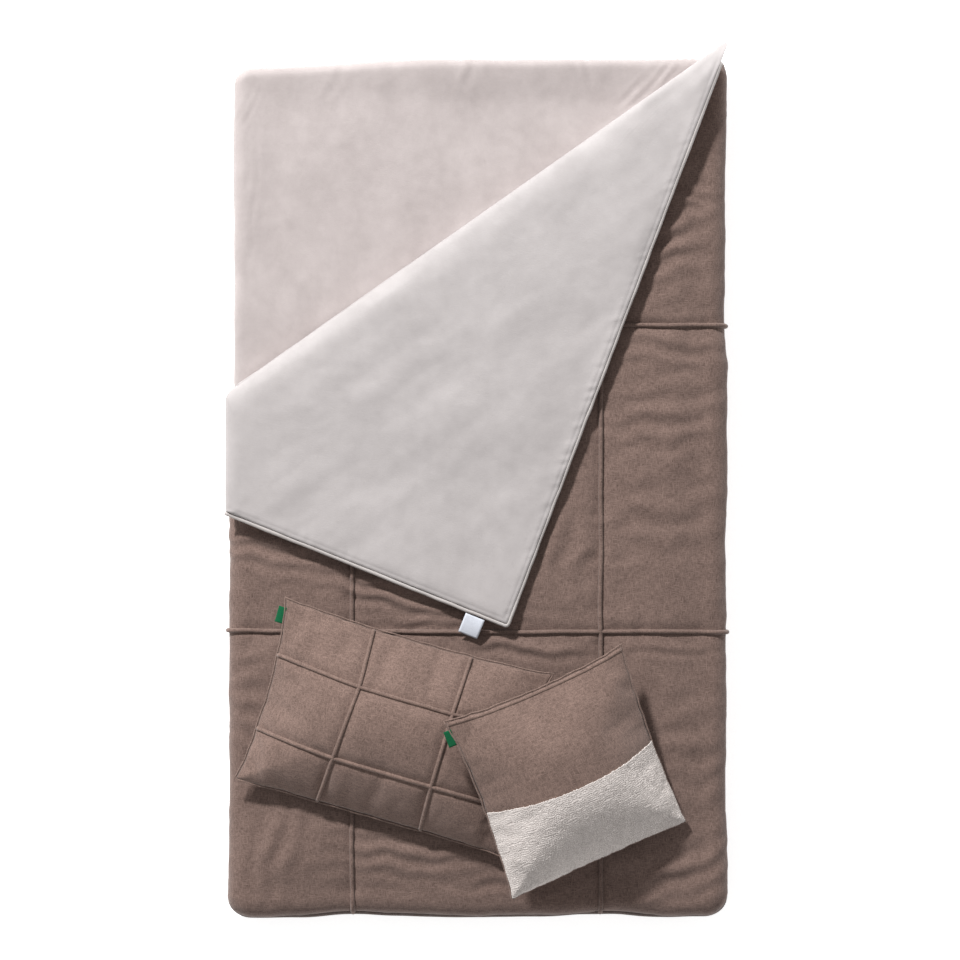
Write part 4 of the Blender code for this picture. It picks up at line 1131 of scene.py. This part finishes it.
def piping_path():
    """Along the turned-back hems: from the left end to the tip, then up to the apex."""
    tip = Vector(piping_corners[3])
    left = Vector(piping_corners[2])
    apex = Vector(piping_corners[0])
    to_left = (left - tip).normalized()
    to_apex = (apex - tip).normalized()
    radius = 0.007
    points = [left + (tip + to_left * radius - left) * step / 90 for step in range(90)]
    for step in range(9):
        share = step / 8
        first = tip + to_left * radius * (1 - share)
        second = tip + to_apex * radius * share
        points.append(first.lerp(second, share))
    end = apex - to_apex * PIPING_STOP
    points += [
        tip + to_apex * radius + (end - tip - to_apex * radius) * (step + 1) / 180
        for step in range(180)
    ]
    plan = np.array([tuple(point) for point in points])
    steps = np.arange(len(plan)) * 0.007
    wave = 0.0007 * cloth_noise(steps, steps * 0, 0.03, 1.0, 68)
    run = np.gradient(plan, axis=0)
    run /= np.linalg.norm(run, axis=1, keepdims=True)
    plan = plan + np.stack([run[:, 1], -run[:, 0]], -1) * wave[:, None]
    fall = flap_fall(plan[:, 0], plan[:, 1]) + left_sag(plan[:, 0])
    z = HEM_HEIGHT - fall + 0.0008 * cloth_noise(steps, steps * 0, 0.05, 1.0, 69)
    return np.column_stack([plan, z])


flap_piping = cord_along("corner_hem_piping_cord", piping_path(), PIPING_RADIUS, PIPING)

bend_start = CREASE.copy()
for piece, nodes, material_slot in (
    (flap_lining, ("corner_lining", "margin_lining", "corner_wadding", "margin_wadding"), "lining_cloth"),
    (flap_cloth, ("corner_outer_cloth", "margin_outer_cloth"), "wool_cloth"),
    (flap_piping, ("corner_piping", "margin_piping"), "piping"),
):
    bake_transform(piece)
    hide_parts(*nodes)

# The wrap of lining round the outside of the crease, from under the cover up to the flap.
ROLL_DEPTH = 0.0285
ROLL_OUT = 0.0140
ROLL_CENTRE = -0.0080
OUTER_FOLD = 0.0046


def crease_strip(name, profile, thickness, finish, start_gap, end_gap):
    length = (APEX - FOLD_LEFT).length
    steps = np.linspace(start_gap, length - end_gap, 160)
    grid = []
    for out, up in profile:
        wave = 0.0006 * cloth_noise(steps, np.full_like(steps, up * 20), 0.05, 1.0, 81)
        x = FOLD_LEFT.x + CREASE_RUN.x * steps + CREASE_OUT.x * (out + wave)
        y = FOLD_LEFT.y + CREASE_RUN.y * steps + CREASE_OUT.y * (out + wave)
        grid.append(np.stack([x, y, np.full_like(x, CREASE.z + up)], -1))
    return thick_grid(name, np.array(grid)[::-1], thickness, finish)


roll_profile = []
for step in range(15):
    angle = math.radians(-90 + 122 * step / 14)
    roll_profile.append((ROLL_CENTRE + ROLL_OUT * math.cos(angle), ROLL_DEPTH * math.sin(angle)))
roll = crease_strip("crease_lining_wrap", roll_profile, 0.0015, LINING, 0.034, 0.050)
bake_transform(roll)

# The outer wool inside the fold, which lies flat on top once the corner is closed.
fold_profile = [(-0.014, -OUTER_FOLD), (-0.007, -OUTER_FOLD)]
for step in range(13):
    angle = math.radians(-90 + 180 * step / 12)
    fold_profile.append((OUTER_FOLD * math.cos(angle), OUTER_FOLD * math.sin(angle)))
fold_profile += [(-0.007, OUTER_FOLD), (-0.014, OUTER_FOLD)]
outer_fold = crease_strip("crease_outer_wool_fold", fold_profile, 0.0016, WOOL, 0.040, 0.052)
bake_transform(outer_fold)

# ---------------------------------------------------------------- tucks under the turned-back corner

for node in ("corner_tuck_cord_left", "corner_tuck_cord_right", "corner_tuck_cord_cross", "margin_tuck_cord"):
    low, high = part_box(node)
    source = frame["nodes"][node]
    copy_mesh = source.data.copy()
    ridge = bpy.data.objects.new(node + "_ridge", copy_mesh)
    bpy.context.scene.collection.objects.link(ridge)
    ridge.matrix_world = source.matrix_world
    rounding = ridge.modifiers.new("rounding", "BEVEL")
    rounding.width = 0.0012
    rounding.segments = 3
    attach(ridge, "corner_margin" if node.startswith("margin") else "turned_corner")
    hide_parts(node)

# ---------------------------------------------------------------- care label

label_joint = JOINTS["label_swing"]


def soft_tab(name, root, side, out, width, length, thickness, droop, finish, curl=0.0):
    """A small folded cloth tab that leaves its seam at root and droops a little."""
    rows = 13
    columns = 11
    grid = np.zeros((rows, columns, 3))
    for row in range(rows):
        along_by = row / (rows - 1)
        for column in range(columns):
            across_by = column / (columns - 1) - 0.5
            sag = -droop * along_by**1.6 + curl * math.sin(math.pi * along_by) * (0.6 + across_by)
            place = root + side * (across_by * width) + out * (along_by * length)
            grid[row, column] = place + Vector((0.0, 0.0, sag))
    piece = thick_grid(name, grid, thickness, finish)
    return piece


label_root = Vector(label_joint["pos_m"]) - Vector((0.0, 0.0, 0.0005))
label_side = Vector(label_joint["axis"]).normalized()
label_out = Vector((-label_side.y, label_side.x, 0.0))
if label_out.y > 0:
    label_out = -label_out
label_start = label_root + label_out * 0.001
label = soft_tab(
    "care_label_cloth", label_start, -label_side, label_out, 0.042, 0.042, 0.0009, 0.008, LABEL, 0.002
)
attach(label, "care_label_body")
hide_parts("care_label")

# ---------------------------------------------------------------- cushions

LONG_SIZE = (0.566, 0.388)
SQUARE_SIZE = (0.396, 0.396)
LONG_HEIGHTS = (0.062, 0.0475)
SQUARE_HEIGHTS = (0.054, 0.050)
LONG_PULLS = (0.050, 0.050, 0.050, 0.005)
SQUARE_PULLS = (0.055, 0.035, 0.065, 0.012)
SQUARE_TURN = math.radians(22.5)
SQUARE_TILT = math.radians(11.5)
SQUARE_PITCH = math.radians(6.0)
CUSHION_CELL = 0.0080
CLOTH_FRAMES = 22
CUSHION_PRESSURE = 8.0
SEAM_DROP = 0.028
CROWN = 0.46
CUSHION_SLACK = 0.034
TAG_U = -0.9932
TAG_V = 0.82


def cushion_plan(u, v, size, pulls, seed):
    """Where the cover's point (u, v) from -1 to 1 lies: the sides are drawn in between the corners."""
    left, right, top, bottom = pulls
    side_pull = np.where(u > 0, right, left) * (1 - v**2) * np.abs(u)
    end_pull = np.where(v > 0, top, bottom) * (1 - u**2) * np.abs(v)
    ear = 0.016 * np.abs(u * v) ** 12
    seam = np.maximum(np.abs(u), np.abs(v)) ** 6
    wave_x = 0.0013 * cloth_noise(v, u * 0 + np.sign(u), 0.11, 1.0, seed) * seam
    wave_y = 0.0013 * cloth_noise(u, v * 0 + np.sign(v), 0.09, 1.0, seed + 1) * seam
    x = size[0] / 2 * u * (1 - side_pull + ear) + wave_x
    y = size[1] / 2 * v * (1 - end_pull + ear) + wave_y
    return x, y


def seam_drop(x, y, size):
    """How far the seam hangs below its plane: nothing beside the tag, most along the foot."""
    u = np.abs(x) / (size[0] / 2)
    v = y / (size[1] / 2)
    rim = np.maximum(u, np.abs(v)).clip(0, 1) ** 5
    return SEAM_DROP * rim * smooth_step((0.70 - v) / 1.2)


def flat_cushion(name, size, pulls, seed):
    """Two cloths sewn round their edges and already a little apart, with the seam held by a group."""
    columns = int(size[0] / CUSHION_CELL) + 1
    rows = int(size[1] / CUSHION_CELL) + 1
    u, v = np.meshgrid(np.linspace(-1.0, 1.0, columns), np.linspace(-1.0, 1.0, rows))
    x, y = cushion_plan(u, v, size, pulls, seed)
    swell = 0.028 * ((1 - u**4) * (1 - v**4)).clip(0) ** 0.6
    swell = swell * (1 + 0.10 * cloth_noise(x, y, 0.05, 0.05, seed + 2))
    front = np.stack([x, y, swell], -1).reshape(-1, 3)
    back = np.stack([x, y, -swell], -1).reshape(-1, 3)
    count = rows * columns
    index = np.arange(count).reshape(rows, columns)
    rim = np.zeros((rows, columns), bool)
    rim[0] = rim[-1] = True
    rim[:, 0] = rim[:, -1] = True
    inner = ~rim
    back_index = index.copy()
    back_index[inner] = count + np.arange(inner.sum())
    points = np.concatenate([front, back.reshape(rows, columns, 3)[inner]])
    faces = []
    for row in range(rows - 1):
        for column in range(columns - 1):
            quad = [(row, column), (row, column + 1), (row + 1, column + 1), (row + 1, column)]
            faces.append(tuple(int(index[place]) for place in quad))
            faces.append(tuple(int(back_index[place]) for place in quad)[::-1])
    piece = make_piece(name, points, faces, WOOL_CUSHION)
    held = piece.vertex_groups.new(name="seam")
    held.add([int(number) for number in index[rim]], 1.0, "REPLACE")
    return piece


def blow_up(piece, pressure, slack, frames):
    """Fills a sewn cover with air pressure and keeps the shape the cloth takes."""
    scene = bpy.context.scene
    modifier = piece.modifiers.new("cloth", "CLOTH")
    cloth = modifier.settings
    cloth.quality = 6
    cloth.mass = 0.3
    cloth.tension_stiffness = 20.0
    cloth.compression_stiffness = 20.0
    cloth.shear_stiffness = 8.0
    cloth.bending_stiffness = 2.5
    cloth.air_damping = 2.0
    cloth.shrink_min = -slack
    cloth.use_pressure = True
    cloth.uniform_pressure_force = pressure
    cloth.effector_weights.gravity = 0.0
    cloth.vertex_group_mass = "seam"
    modifier.collision_settings.use_collision = False
    modifier.collision_settings.use_self_collision = False
    modifier.point_cache.frame_start = 1
    modifier.point_cache.frame_end = frames
    for number in range(1, frames + 1):
        scene.frame_set(number)
    graph = bpy.context.evaluated_depsgraph_get()
    settled = bpy.data.meshes.new_from_object(piece.evaluated_get(graph))
    piece.modifiers.clear()
    old = piece.data
    piece.data = settled
    bpy.data.meshes.remove(old)
    scene.frame_set(1)


def coordinates_of(piece):
    points = np.empty(len(piece.data.vertices) * 3)
    piece.data.vertices.foreach_get("co", points)
    return points.reshape(-1, 3)


def set_coordinates(piece, points):
    piece.data.vertices.foreach_set("co", np.asarray(points).reshape(-1))
    piece.data.update()


def refined(piece):
    """Rounds off the sharpest wrinkles, then quarters each face."""
    easing = piece.modifiers.new("easing", "SMOOTH")
    easing.factor = 0.5
    easing.iterations = 5
    easing.use_x = False
    easing.use_y = False
    rounding = piece.modifiers.new("rounding", "SUBSURF")
    rounding.levels = 1
    rounding.render_levels = 1
    graph = bpy.context.evaluated_depsgraph_get()
    fine = bpy.data.meshes.new_from_object(piece.evaluated_get(graph))
    piece.modifiers.clear()
    piece.data = fine
    piece.data.shade_smooth()


def route_distance(x, y, routes):
    """How far each point is from the nearest of the sewn lines."""
    nearest = np.full(x.shape, 1.0)
    for route in routes:
        for start, end in zip(route[:-1], route[1:]):
            run_x = end[0] - start[0]
            run_y = end[1] - start[1]
            share = ((x - start[0]) * run_x + (y - start[1]) * run_y) / (run_x**2 + run_y**2)
            share = share.clip(0, 1)
            off = np.hypot(x - start[0] - share * run_x, y - start[1] - share * run_y)
            nearest = np.minimum(nearest, off)
    return nearest


def cushion_body(name, size, heights, pulls, seed, routes=()):
    """A filled cushion in its own frame: seam in the plane z = 0, flattened where it rests."""
    piece = flat_cushion(name, size, pulls, seed)
    blow_up(piece, CUSHION_PRESSURE, CUSHION_SLACK, CLOTH_FRAMES)
    refined(piece)
    points = coordinates_of(piece)
    x = points[:, 0]
    y = points[:, 1]
    front = points[:, 2] > 0
    crown = (1 - (x / (size[0] / 2)) ** 2).clip(0) * (1 - (y / (size[1] / 2)) ** 2).clip(0)
    points[front, 2] *= 1 - CROWN + CROWN * crown[front]
    points[:, 2] *= heights[0] / np.percentile(points[front, 2], 99.5)
    share = smooth_step(points[:, 2] / 0.012)
    points[:, 2] += share * 0.0012 * cloth_noise(x, y, 0.070, 0.065, seed + 3)
    points[:, 2] += share * 0.0004 * cloth_noise(x, y, 0.020, 0.024, seed + 4)
    if routes:
        near = route_distance(x, y, routes)
        points[:, 2] += share * (0.0012 - 0.0048 * bump_at(near, 0.013))
    points[~front, 2] *= heights[1] / np.percentile(-points[~front, 2], 90.0)
    points[:, 2] -= seam_drop(x, y, size)
    soft = 0.010
    depth = -points[:, 2]
    eased = heights[1] - soft + soft * np.tanh((depth - heights[1] + soft) / soft)
    points[:, 2] = -np.where(depth > heights[1] - soft, eased, depth)
    set_coordinates(piece, points)
    return piece


def cushion_place(tag_joint, size, turn, tilt=0.0, pitch=0.0):
    """The cushion's own frame, found from where its tag is sewn to its left edge."""
    spin = Matrix.Rotation(turn, 4, "Z") @ Matrix.Rotation(tilt, 4, "Y") @ Matrix.Rotation(pitch, 4, "X")
    tag = spin @ Vector((TAG_U * size[0] / 2, TAG_V * size[1] / 2, 0.0))
    return Matrix.Translation(Vector(JOINTS[tag_joint]["pos_m"]) - tag) @ spin


LONG_TURN = math.radians(-16.0)
LONG_PLACE = cushion_place("long_cushion_tag_swing", LONG_SIZE, LONG_TURN)
SQUARE_PLACE = cushion_place("square_cushion_tag_swing", SQUARE_SIZE, SQUARE_TURN, SQUARE_TILT, SQUARE_PITCH)


def surface_of(piece):
    mesh = bmesh.new()
    mesh.from_mesh(piece.data)
    tree = BVHTree.FromBMesh(mesh)
    mesh.free()
    return tree


def face_point(tree, x, y, side=1):
    """The point of the front (side 1) or back (side -1) at (x, y), and its normal."""
    place, normal, _, _ = tree.ray_cast(Vector((x, y, 0.3 * side)), Vector((0.0, 0.0, -side)))
    return place, normal


RIDGE_SECTION = (
    (-0.0056, -0.0020),
    (-0.0040, 0.0004),
    (-0.0037, 0.0030),
    (-0.0024, 0.0048),
    (0.0, 0.0054),
    (0.0024, 0.0048),
    (0.0037, 0.0030),
    (0.0040, 0.0004),
    (0.0056, -0.0020),
)
BAND_SECTION = (
    (-0.0040, -0.0014),
    (-0.0037, 0.0010),
    (-0.0012, 0.0021),
    (0.0018, 0.0021),
    (0.0036, 0.0008),
    (0.0040, -0.0014),
)


def ridge_on(name, tree, route, place, finish, section=RIDGE_SECTION, side=1):
    """A sewn ridge along a route of (x, y) points on the cushion's front or back."""
    route = np.array(route)
    lengths = np.concatenate([[0.0], np.cumsum(np.linalg.norm(np.diff(route, axis=0), axis=1))])
    samples = np.linspace(0.0, lengths[-1], int(lengths[-1] / 0.004) + 1)
    plan = np.column_stack([np.interp(samples, lengths, route[:, k]) for k in range(2)])
    for _ in range(14):
        plan[1:-1] = (plan[:-2] + 2 * plan[1:-1] + plan[2:]) / 4
    found = [face_point(tree, x, y, side) for x, y in plan]
    path = np.array([tuple(spot) for spot, _ in found if spot is not None])
    ups = np.array([tuple(normal) for spot, normal in found if spot is not None])
    for _ in range(3):
        path[1:-1] = (path[:-2] + 2 * path[1:-1] + path[2:]) / 4
        ups[1:-1] = (ups[:-2] + 2 * ups[1:-1] + ups[2:]) / 4
    ups /= np.linalg.norm(ups, axis=1, keepdims=True)
    run = np.gradient(path, axis=0)
    run /= np.linalg.norm(run, axis=1, keepdims=True)
    sides = np.cross(run, ups)
    sides /= np.linalg.norm(sides, axis=1, keepdims=True)
    ridge = swept(name, path, ups, sides, section, finish)
    ridge.matrix_world = place
    return ridge


def seam_cord(name, size, pulls, seed, place, radius, finish):
    """The knife-edge seam where front and back are sewn together."""
    steps = np.linspace(-1.0, 1.0, 60)[:-1]
    ones = np.ones_like(steps)
    u = np.concatenate([steps, ones, -steps, -ones])
    v = np.concatenate([-ones, steps, ones, -steps])
    x, y = cushion_plan(u, v, size, pulls, seed)
    path = np.column_stack([x, y, -seam_drop(x, y, size)])
    seam = cord_along(name, path, radius, finish, closed=True, sides=8)
    seam.matrix_world = place
    return seam


LONG_TUCKS = (
    ("long_cushion_tuck_upper", ((-0.985, 0.41), (-0.32, 0.33), (0.39, 0.325), (0.985, 0.36))),
    ("long_cushion_tuck_lower", ((-0.985, -0.42), (-0.37, -0.47), (0.39, -0.475), (0.985, -0.485))),
    ("long_cushion_tuck_left", ((-0.33, 0.975), (-0.317, 0.33), (-0.362, -0.49), (-0.385, -0.975))),
    ("long_cushion_tuck_right", ((0.405, 0.975), (0.394, 0.32), (0.389, -0.47), (0.392, -0.975))),
)
LONG_SEED = 81
SQUARE_SEED = 101


def plan_route(marks, size, pulls, seed):
    x, y = cushion_plan(np.array([u for u, _ in marks]), np.array([v for _, v in marks]), size, pulls, seed)
    return list(zip(x.tolist(), y.tolist()))


long_routes = [plan_route(marks, LONG_SIZE, LONG_PULLS, LONG_SEED) for _, marks in LONG_TUCKS]
long_body = cushion_body("long_cushion_cover", LONG_SIZE, LONG_HEIGHTS, LONG_PULLS, LONG_SEED, long_routes)
long_tree = surface_of(long_body)
long_pieces = [
    ridge_on(name, long_tree, route, LONG_PLACE, WOOL_CUSHION)
    for (name, _), route in zip(LONG_TUCKS, long_routes)
]
long_pieces.append(
    seam_cord("long_cushion_edge_seam", LONG_SIZE, LONG_PULLS, LONG_SEED, LONG_PLACE, 0.0016, WOOL_CUSHION)
)
foot_marks = [(share, -0.93) for share in (-0.7, -0.35, 0.0, 0.35, 0.7)]
long_placket = ridge_on(
    "long_cushion_zip_placket",
    long_tree,
    plan_route(foot_marks, LONG_SIZE, LONG_PULLS, LONG_SEED),
    LONG_PLACE,
    WOOL_CUSHION,
    BAND_SECTION,
    side=-1,
)
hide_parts("long_cushion_zip")
long_pieces.append(long_placket)
long_body.matrix_world = LONG_PLACE
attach(long_body, "long_cushion")
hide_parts("long_cushion_front_cloth", "long_cushion_back_cloth", "long_cushion_fill")
for piece in long_pieces:
    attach(piece, "long_cushion")

square_body = cushion_body("square_cushion_cover", SQUARE_SIZE, SQUARE_HEIGHTS, SQUARE_PULLS, SQUARE_SEED)
square_tree = surface_of(square_body)
SPLIT_LEVEL = -0.056
SPLIT_SAG = 0.016
PANEL_CELL = 0.0012
LOOP_SIZE = 0.0038
LOOP_HEIGHT = 0.0015
PANEL_EDGE = 0.988


def split_share(u):
    """Where the looped cloth begins, lower in the middle than at the sides."""
    return SPLIT_LEVEL - SPLIT_SAG / (SQUARE_SIZE[1] / 2) * (1 - u**2)


def looped_panel():
    """The cream looped cloth: its own dense sheet over the lower front, with curled pile."""
    columns = int(SQUARE_SIZE[0] / PANEL_CELL)
    rows = int(SQUARE_SIZE[1] / 2 / PANEL_CELL)
    u, level = np.meshgrid(np.linspace(-PANEL_EDGE, PANEL_EDGE, columns), np.linspace(0.0, 1.0, rows))
    v = -PANEL_EDGE + (split_share(u) + PANEL_EDGE) * level
    x, y = cushion_plan(u, v, SQUARE_SIZE, SQUARE_PULLS, SQUARE_SEED)
    grid = np.stack([x, y, -seam_drop(x, y, SQUARE_SIZE)], -1)
    for row in range(rows):
        for column in range(columns):
            spot, _ = face_point(square_tree, x[row, column], y[row, column])
            if spot is not None:
                grid[row, column, 2] = spot.z
    for _ in range(6):
        grid[1:-1, 1:-1, 2] = (
            grid[:-2, 1:-1, 2] + grid[2:, 1:-1, 2] + grid[1:-1, :-2, 2] + grid[1:-1, 2:, 2]
        ) / 4
    turn_x = math.pi * x / LOOP_SIZE + 2.2 * cloth_noise(x, y, 0.007, 0.007, 91)
    turn_y = math.pi * y / LOOP_SIZE + 2.2 * cloth_noise(x, y, 0.007, 0.007, 92)
    loops = LOOP_HEIGHT * np.abs(np.sin(turn_x) * np.sin(turn_y)) ** 0.7
    clumps = 0.0003 * cloth_noise(x, y, 0.009, 0.009, 93)
    raised = grid + grid_normals(grid) * (0.0018 + loops + clumps)[..., None]
    return thick_grid("square_cushion_looped_front", raised, 0.0026, BOUCLE)


square_panel = looped_panel()
square_panel.matrix_world = SQUARE_PLACE
square_body.matrix_world = SQUARE_PLACE
head_marks = [(share, 0.958) for share in (-0.985, -0.6, -0.2, 0.2, 0.6, 0.985)]
square_placket = ridge_on(
    "square_cushion_zip_placket",
    square_tree,
    plan_route(head_marks, SQUARE_SIZE, SQUARE_PULLS, SQUARE_SEED),
    SQUARE_PLACE,
    WOOL_CUSHION,
    BAND_SECTION,
)
square_seam = seam_cord(
    "square_cushion_edge_seam", SQUARE_SIZE, SQUARE_PULLS, SQUARE_SEED, SQUARE_PLACE, 0.0018, WOOL_CUSHION
)
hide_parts("square_cushion_zip")
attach(square_body, "square_cushion")
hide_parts("square_cushion_front_cloth", "square_cushion_back_cloth", "square_cushion_fill")
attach(square_panel, "square_cushion")
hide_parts("square_cushion_front_boucle")
for piece in (square_placket, square_seam):
    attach(piece, "square_cushion")

# ---------------------------------------------------------------- cushion tags


def cushion_tag(name, body, place):
    joint = JOINTS[body.replace("_body", "_swing")]
    side = Vector(joint["axis"]).normalized()
    out = place.to_3x3() @ Vector((-1.0, 0.0, 0.0))
    root = Vector(joint["pos_m"]) - out * 0.003
    tag = soft_tab(name + "_cloth", root, -side, out, 0.034, 0.016, 0.0010, 0.003, TAG, 0.001)
    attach(tag, body)
    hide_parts(name)


cushion_tag("long_cushion_tag", "long_cushion_tag_body", LONG_PLACE)
cushion_tag("square_cushion_tag", "square_cushion_tag_body", SQUARE_PLACE)
